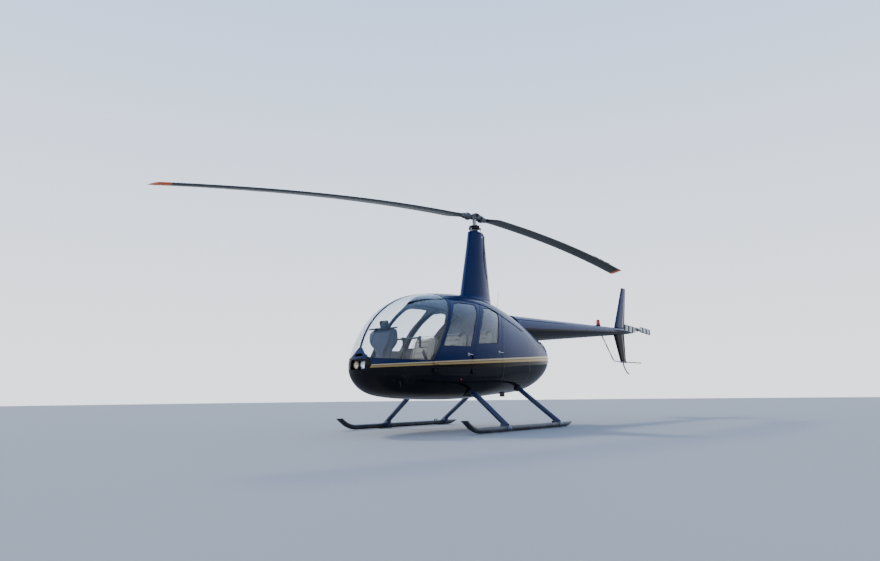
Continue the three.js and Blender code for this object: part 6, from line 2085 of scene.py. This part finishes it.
GUARD_PAINT = finish_of("guard_paint", (0.6, 0.3, 0.3), 0.35, bump=0.1, dust=0.2, dusty_height=1.4,
                        scuffs=0.6, colour_from=guard_bands, Coat_Weight=0.3)
line = stepped(bent(GUARD_PATH, 0.090, 10), 0.03, closed=False)
guard = put_mesh("guard_tube", rod(line, GUARD_RADIUS, GUARD_SIDES, rounded=0.004), GUARD_PAINT,
                 ["tail_guard"])
places = np.array([v.co[:] for v in guard.data.vertices]).reshape(-1, GUARD_SIDES, 3).mean(1)
length = np.r_[0, np.cumsum(np.linalg.norm(np.diff(places, axis=0), axis=1))]
with_map(guard, np.repeat(length, GUARD_SIDES),
         np.tile(np.arange(GUARD_SIDES) / GUARD_SIDES, len(length)))
skid_line = bent([(-5.388, 0, 1.132), (-5.440, 0, 1.030), (-5.600, 0, 0.900), (-5.680, 0, 0.889)],
                 0.05, 8)
clamps = [slab((-5.560, -0.020, 1.118), (-5.275, 0.020, 1.131), 0.004),
          slab((-5.540, -0.017, 1.150), (-5.290, 0.017, 1.160), 0.003)]
clamps += [rod([(x, 0, 1.139), (x + 0.05, 0, 1.139)], 0.0165, 24, rounded=0.002)
           for x in (-5.55, -5.32)]
put_mesh("tail_skid", rod(skid_line, 0.0125, 20, rounded=0.005), DARK_METAL)
put_mesh("guard_clamps", clamps, BLACK_RUBBER)


# Tail gearbox and rotor: a cast bevel box on the boom's end, and two bonded blades on a pitching
# hub at its left, white with three black bands and a dark leading edge.
TAIL_HUB = np.array([-5.890, 0.170, 1.850])
TAIL_PARKED = np.radians(2.5)
TAIL_BLADE_TIP = 0.735
TAIL_CHORD, TAIL_THICK, TAIL_PITCH_AXIS = 0.130, 0.014, 0.3
TAIL_BANDS, BAND_HALF = (0.285, 0.500, 0.697), 0.042  # middles and half width of the black bands
TIP_ROUNDING = 0.008
boom_end_z = BOOM_LINE + BOOM_SLOPE * BOOM_END
neck = np.array([(BOOM_END - 0.001, 0, boom_end_z), (-5.770, 0, 1.822), (-5.800, 0, 1.835),
                 (-5.835, 0, 1.850)])
box = [rod(neck, (0.059, 0.060, 0.054, 0.052), 48, rounded=0.003)]
case = [(-0.075, 0.030), (-0.074, 0.052), (-0.066, 0.060), (-0.056, 0.068), (0.040, 0.072),
        (0.052, 0.066), (0.056, 0.050), (0.062, 0.040), (0.066, 0.034), (0.120, 0.032),
        (0.128, 0.027)]
centre = (TAIL_HUB[0], 0, TAIL_HUB[2])
box.append(lathe(case, centre, "y", 56))
around = full_turn(8) + 0.2
cover_bolts = [(TAIL_HUB[0] + 0.056 * np.cos(a), 0.052, TAIL_HUB[2] + 0.056 * np.sin(a))
               for a in around]
flange_bolts = [(BOOM_END - 0.012, 0.053 * np.cos(a), boom_end_z + 0.053 * np.sin(a))
                for a in around]
box.append(lathe([(1.775, 0.012), (1.782, 0.016), (1.800, 0.016)], (TAIL_HUB[0], 0, 0), "z", 6))
put_mesh("gearbox_case", box, CAST_METAL, ["tail_gearbox"])
bolts = [bolt_heads(cover_bolts, 0.006, 0.006, "y"), bolt_heads(flange_bolts, 0.006, -0.006, "x")]
put_mesh("gearbox_bolts", bolts, DARK_METAL)


def on_tail_rotor(reach, chordwise, out):
    """The tail rotor's places: along a blade, across it and out from the hub, as parked."""
    cosine, sine = np.cos(TAIL_PARKED), np.sin(TAIL_PARKED)
    return TAIL_HUB + np.stack([reach * cosine - chordwise * sine, 0 * reach + out,
                                reach * sine + chordwise * cosine], -1)


def tail_blade_colours(tree):
    """By the map (distance out, share behind the edge): white, three black bands, a dark edge."""
    out, behind = mapped(tree)
    colour = blend_colours(tree, rising(tree, noise(tree, object_place(tree), 25.0, 5.0), 0.4, 0.8),
                           (0.92, 0.92, 0.91), (0.82, 0.82, 0.80))
    for middle in TAIL_BANDS:
        band = maths(tree, "COMPARE", out, middle, BAND_HALF)
        colour = blend_colours(tree, band, colour, (0.004, 0.004, 0.005))
    return blend_colours(tree, maths(tree, "LESS_THAN", behind, 0.12), colour, (0.02, 0.02, 0.022))


TAIL_BLADE_PAINT = finish_of("tail_blade_paint", (0.7, 0.7, 0.68), 0.32, bump=0.06, dust=0.0,
                             scuffs=0.1, colour_from=tail_blade_colours, Specular_IOR_Level=0.25)
reach = np.concatenate([np.linspace(0.100, 0.150, 6),
                        np.linspace(0.17, TAIL_BLADE_TIP - TIP_ROUNDING, 24),
                        TAIL_BLADE_TIP - np.array([0.005, 0.0025, 0.0008, 0.0])])
narrow = 1 - 0.55 * (1 - np.clip((reach - 0.100) / 0.07, 0, 1)) ** 2
closing = np.sqrt(np.clip(1 - ((reach - TAIL_BLADE_TIP + TIP_ROUNDING) / 0.00805) ** 2
                          * (reach > TAIL_BLADE_TIP - TIP_ROUNDING), 0.004, 1))
grips = []
for name, direction in (("forward", 1), ("aft", -1)):
    behind = TAIL_PITCH_AXIS + (section[None, :, 0] - TAIL_PITCH_AXIS) * narrow[:, None]
    chordwise = direction * (TAIL_PITCH_AXIS - behind) * TAIL_CHORD
    thick = section[None, :, 1] * TAIL_THICK * (closing * (1 + 0.4 * (reach < 0.13)))[:, None]
    span = np.broadcast_to(direction * reach[:, None], behind.shape)
    blade = put_mesh("tail_blade_" + name, loft(on_tail_rotor(span, chordwise, thick)),
                     TAIL_BLADE_PAINT, body="tail_rotor_assembly")
    with_map(blade, np.repeat(reach, behind.shape[1]), np.tile(section[:, 0], len(reach)))
    line = on_tail_rotor(direction * np.array([0.030, 0.060, 0.100, 0.140]), 0, 0.0)
    grips.append(rod(line, (0.020, 0.019, 0.016, 0.013), 28, rounded=0.003, flat=0.8))
    for way in (-1, 1):
        spots = rounded_corners([(0.085, -0.020), (0.170, -0.016, 0.01), (0.170, 0.016, 0.01),
                                 (0.085, 0.020)])
        levels = [on_tail_rotor(direction * spots[:, 0], spots[:, 1], way * t)
                  for t in (0.003, 0.0085, 0.0095)]
        grips.append(loft(levels))
        for out in (0.105, 0.145):
            low, high = (on_tail_rotor(direction * out, 0, way * t) for t in (0.006, 0.014))
            grips.append(rod([low, high], 0.006, 6))
    horn = on_tail_rotor(direction * np.array([0.060, 0.058, 0.050]), np.array([0.0, 0.030, 0.045]),
                         0.0)
    grips.append(rod(horn, (0.009, 0.008, 0.007), 16, rounded=0.002))
    link = [on_tail_rotor(direction * 0.050, 0.045, -0.004),
            on_tail_rotor(direction * 0.030, 0.028, -0.052)]
    grips.append(rod(link, 0.0045, 12))
hub = [(0.090, 0.015), (0.112, 0.016), (0.114, 0.030), (0.124, 0.030), (0.126, 0.018),
       (0.150, 0.018), (0.153, 0.036), (0.158, 0.040), (0.182, 0.040), (0.187, 0.035),
       (0.188, 0.018), (0.192, 0.015)]
grips.append(lathe(hub, centre, "y", 48))
put_mesh("tail_rotor_hub", grips, ROTOR_METAL, ["tail_rotor"], body="tail_rotor_assembly")


# Stage: a pale matt floor under a pale sky that is dimmer behind the camera, one soft sun,
# and the camera where the photograph was taken from.
CAMERA_PLACE = (7.852, 5.589, 0.451)
CAMERA_YAW, CAMERA_PITCH, CAMERA_ROLL = np.radians([218.643, 10.250, -0.594])
FOCAL_PIXELS = 640.53
PHOTO_WIDTH = 880
SENSOR = 36.0

ahead = np.array([np.cos(CAMERA_YAW) * np.cos(CAMERA_PITCH),
                  np.sin(CAMERA_YAW) * np.cos(CAMERA_PITCH), np.sin(CAMERA_PITCH)])
right = np.array([np.sin(CAMERA_YAW), -np.cos(CAMERA_YAW), 0])
up = np.cross(right, ahead)
turned_right = np.cos(CAMERA_ROLL) * right + np.sin(CAMERA_ROLL) * up
turned_up = -np.sin(CAMERA_ROLL) * right + np.cos(CAMERA_ROLL) * up
camera = bpy.data.objects.new("camera", bpy.data.cameras.new("camera"))
bpy.context.scene.collection.objects.link(camera)
turned = Matrix(np.stack([turned_right, turned_up, -ahead], 1).tolist())
place = Vector(CAMERA_PLACE) + Vector((MAST_X, 0, 0))
camera.matrix_world = Matrix.Translation(place) @ turned.to_4x4()
camera.data.sensor_width = SENSOR
camera.data.lens = FOCAL_PIXELS / PHOTO_WIDTH * SENSOR
camera.data.clip_end = 200
bpy.context.scene.camera = camera

FLOOR_RADIUS, FLOOR_SIDES, FLOOR_GREY = 60, 64, (0.33, 0.33, 0.33)
floor_paint, _, floor_shader = new_material("pale_floor", FLOOR_GREY)
floor_shader.inputs["Base Color"].default_value = (*FLOOR_GREY, 1)
floor_shader.inputs["Roughness"].default_value = 0.85
angle = full_turn(FLOOR_SIDES)
disc = np.stack([FLOOR_RADIUS * np.cos(angle), FLOOR_RADIUS * np.sin(angle), 0 * angle], 1)
floor_mesh = bpy.data.meshes.new("studio_floor")
floor_mesh.from_pydata(disc, [], [list(range(FLOOR_SIDES))])
floor_mesh.materials.append(floor_paint)
studio_floor = bpy.data.objects.new("studio_floor", floor_mesh)
bpy.context.scene.collection.objects.link(studio_floor)
studio_floor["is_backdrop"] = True

SKY_STRENGTH = 2.0
HORIZON_COLOUR, ZENITH_COLOUR = (0.93, 0.96, 1.0, 1), (0.30, 0.48, 0.86, 1)
CURTAIN_LOW, CURTAIN_RISE = 0.15, 0.36  # share of the light that is left behind the camera
BRIGHT_SIDE = (-0.342, -0.940)  # the way across the floor in which the sky is brightest
world = bpy.data.worlds.new("studio")
bpy.context.scene.world = world
world.use_nodes = True
sky = world.node_tree
backdrop = sky.nodes["Background"]
way = add_node(sky, "TexCoord").outputs["Generated"]
east, north, upward = add_node(sky, "SeparateXYZ", {0: way}).outputs
ramp = add_node(sky, "ValToRGB", {0: rising(sky, upward, -0.1, 0.9)})
for stop, shade in zip(ramp.color_ramp.elements, (HORIZON_COLOUR, ZENITH_COLOUR)):
    stop.color = shade
sky.links.new(ramp.outputs[0], backdrop.inputs[0])
# The side behind the camera is dimmer, most of all low down, as if a dark curtain hung there.
across = maths(sky, "MULTIPLY", north, BRIGHT_SIDE[1])
away = maths(sky, "MULTIPLY_ADD", east, BRIGHT_SIDE[0], across)
bright = rising(sky, away, -0.45, 0.30)
curtain = maths(sky, "MULTIPLY_ADD", rising(sky, upward, 0.08, 0.24), CURTAIN_RISE, CURTAIN_LOW)
behind = maths(sky, "MULTIPLY", curtain, maths(sky, "SUBTRACT", 1.0, bright))
sky.links.new(maths(sky, "MULTIPLY", maths(sky, "ADD", bright, behind), SKY_STRENGTH),
              backdrop.inputs[1])

SUN_WIDTH, SUN_STRENGTH, SUN_COLOUR = np.radians(8.0), 2.6, (1.0, 0.96, 0.90)
SUN_WAY = (0.30, 1.20, -1.10)  # the way its light travels
sun = bpy.data.lights.new("soft_sun", "SUN")
sun.angle, sun.energy, sun.color = SUN_WIDTH, SUN_STRENGTH, SUN_COLOUR
sun_holder = bpy.data.objects.new("soft_sun", sun)
sun_holder.rotation_euler = Vector(SUN_WAY).to_track_quat("-Z", "Y").to_euler()
sun_holder.visible_glossy = False
bpy.context.scene.collection.objects.link(sun_holder)

({name: [list(corner) for corner in box]
           for name, box in (("cad", cad_box), ("visual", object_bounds()))})
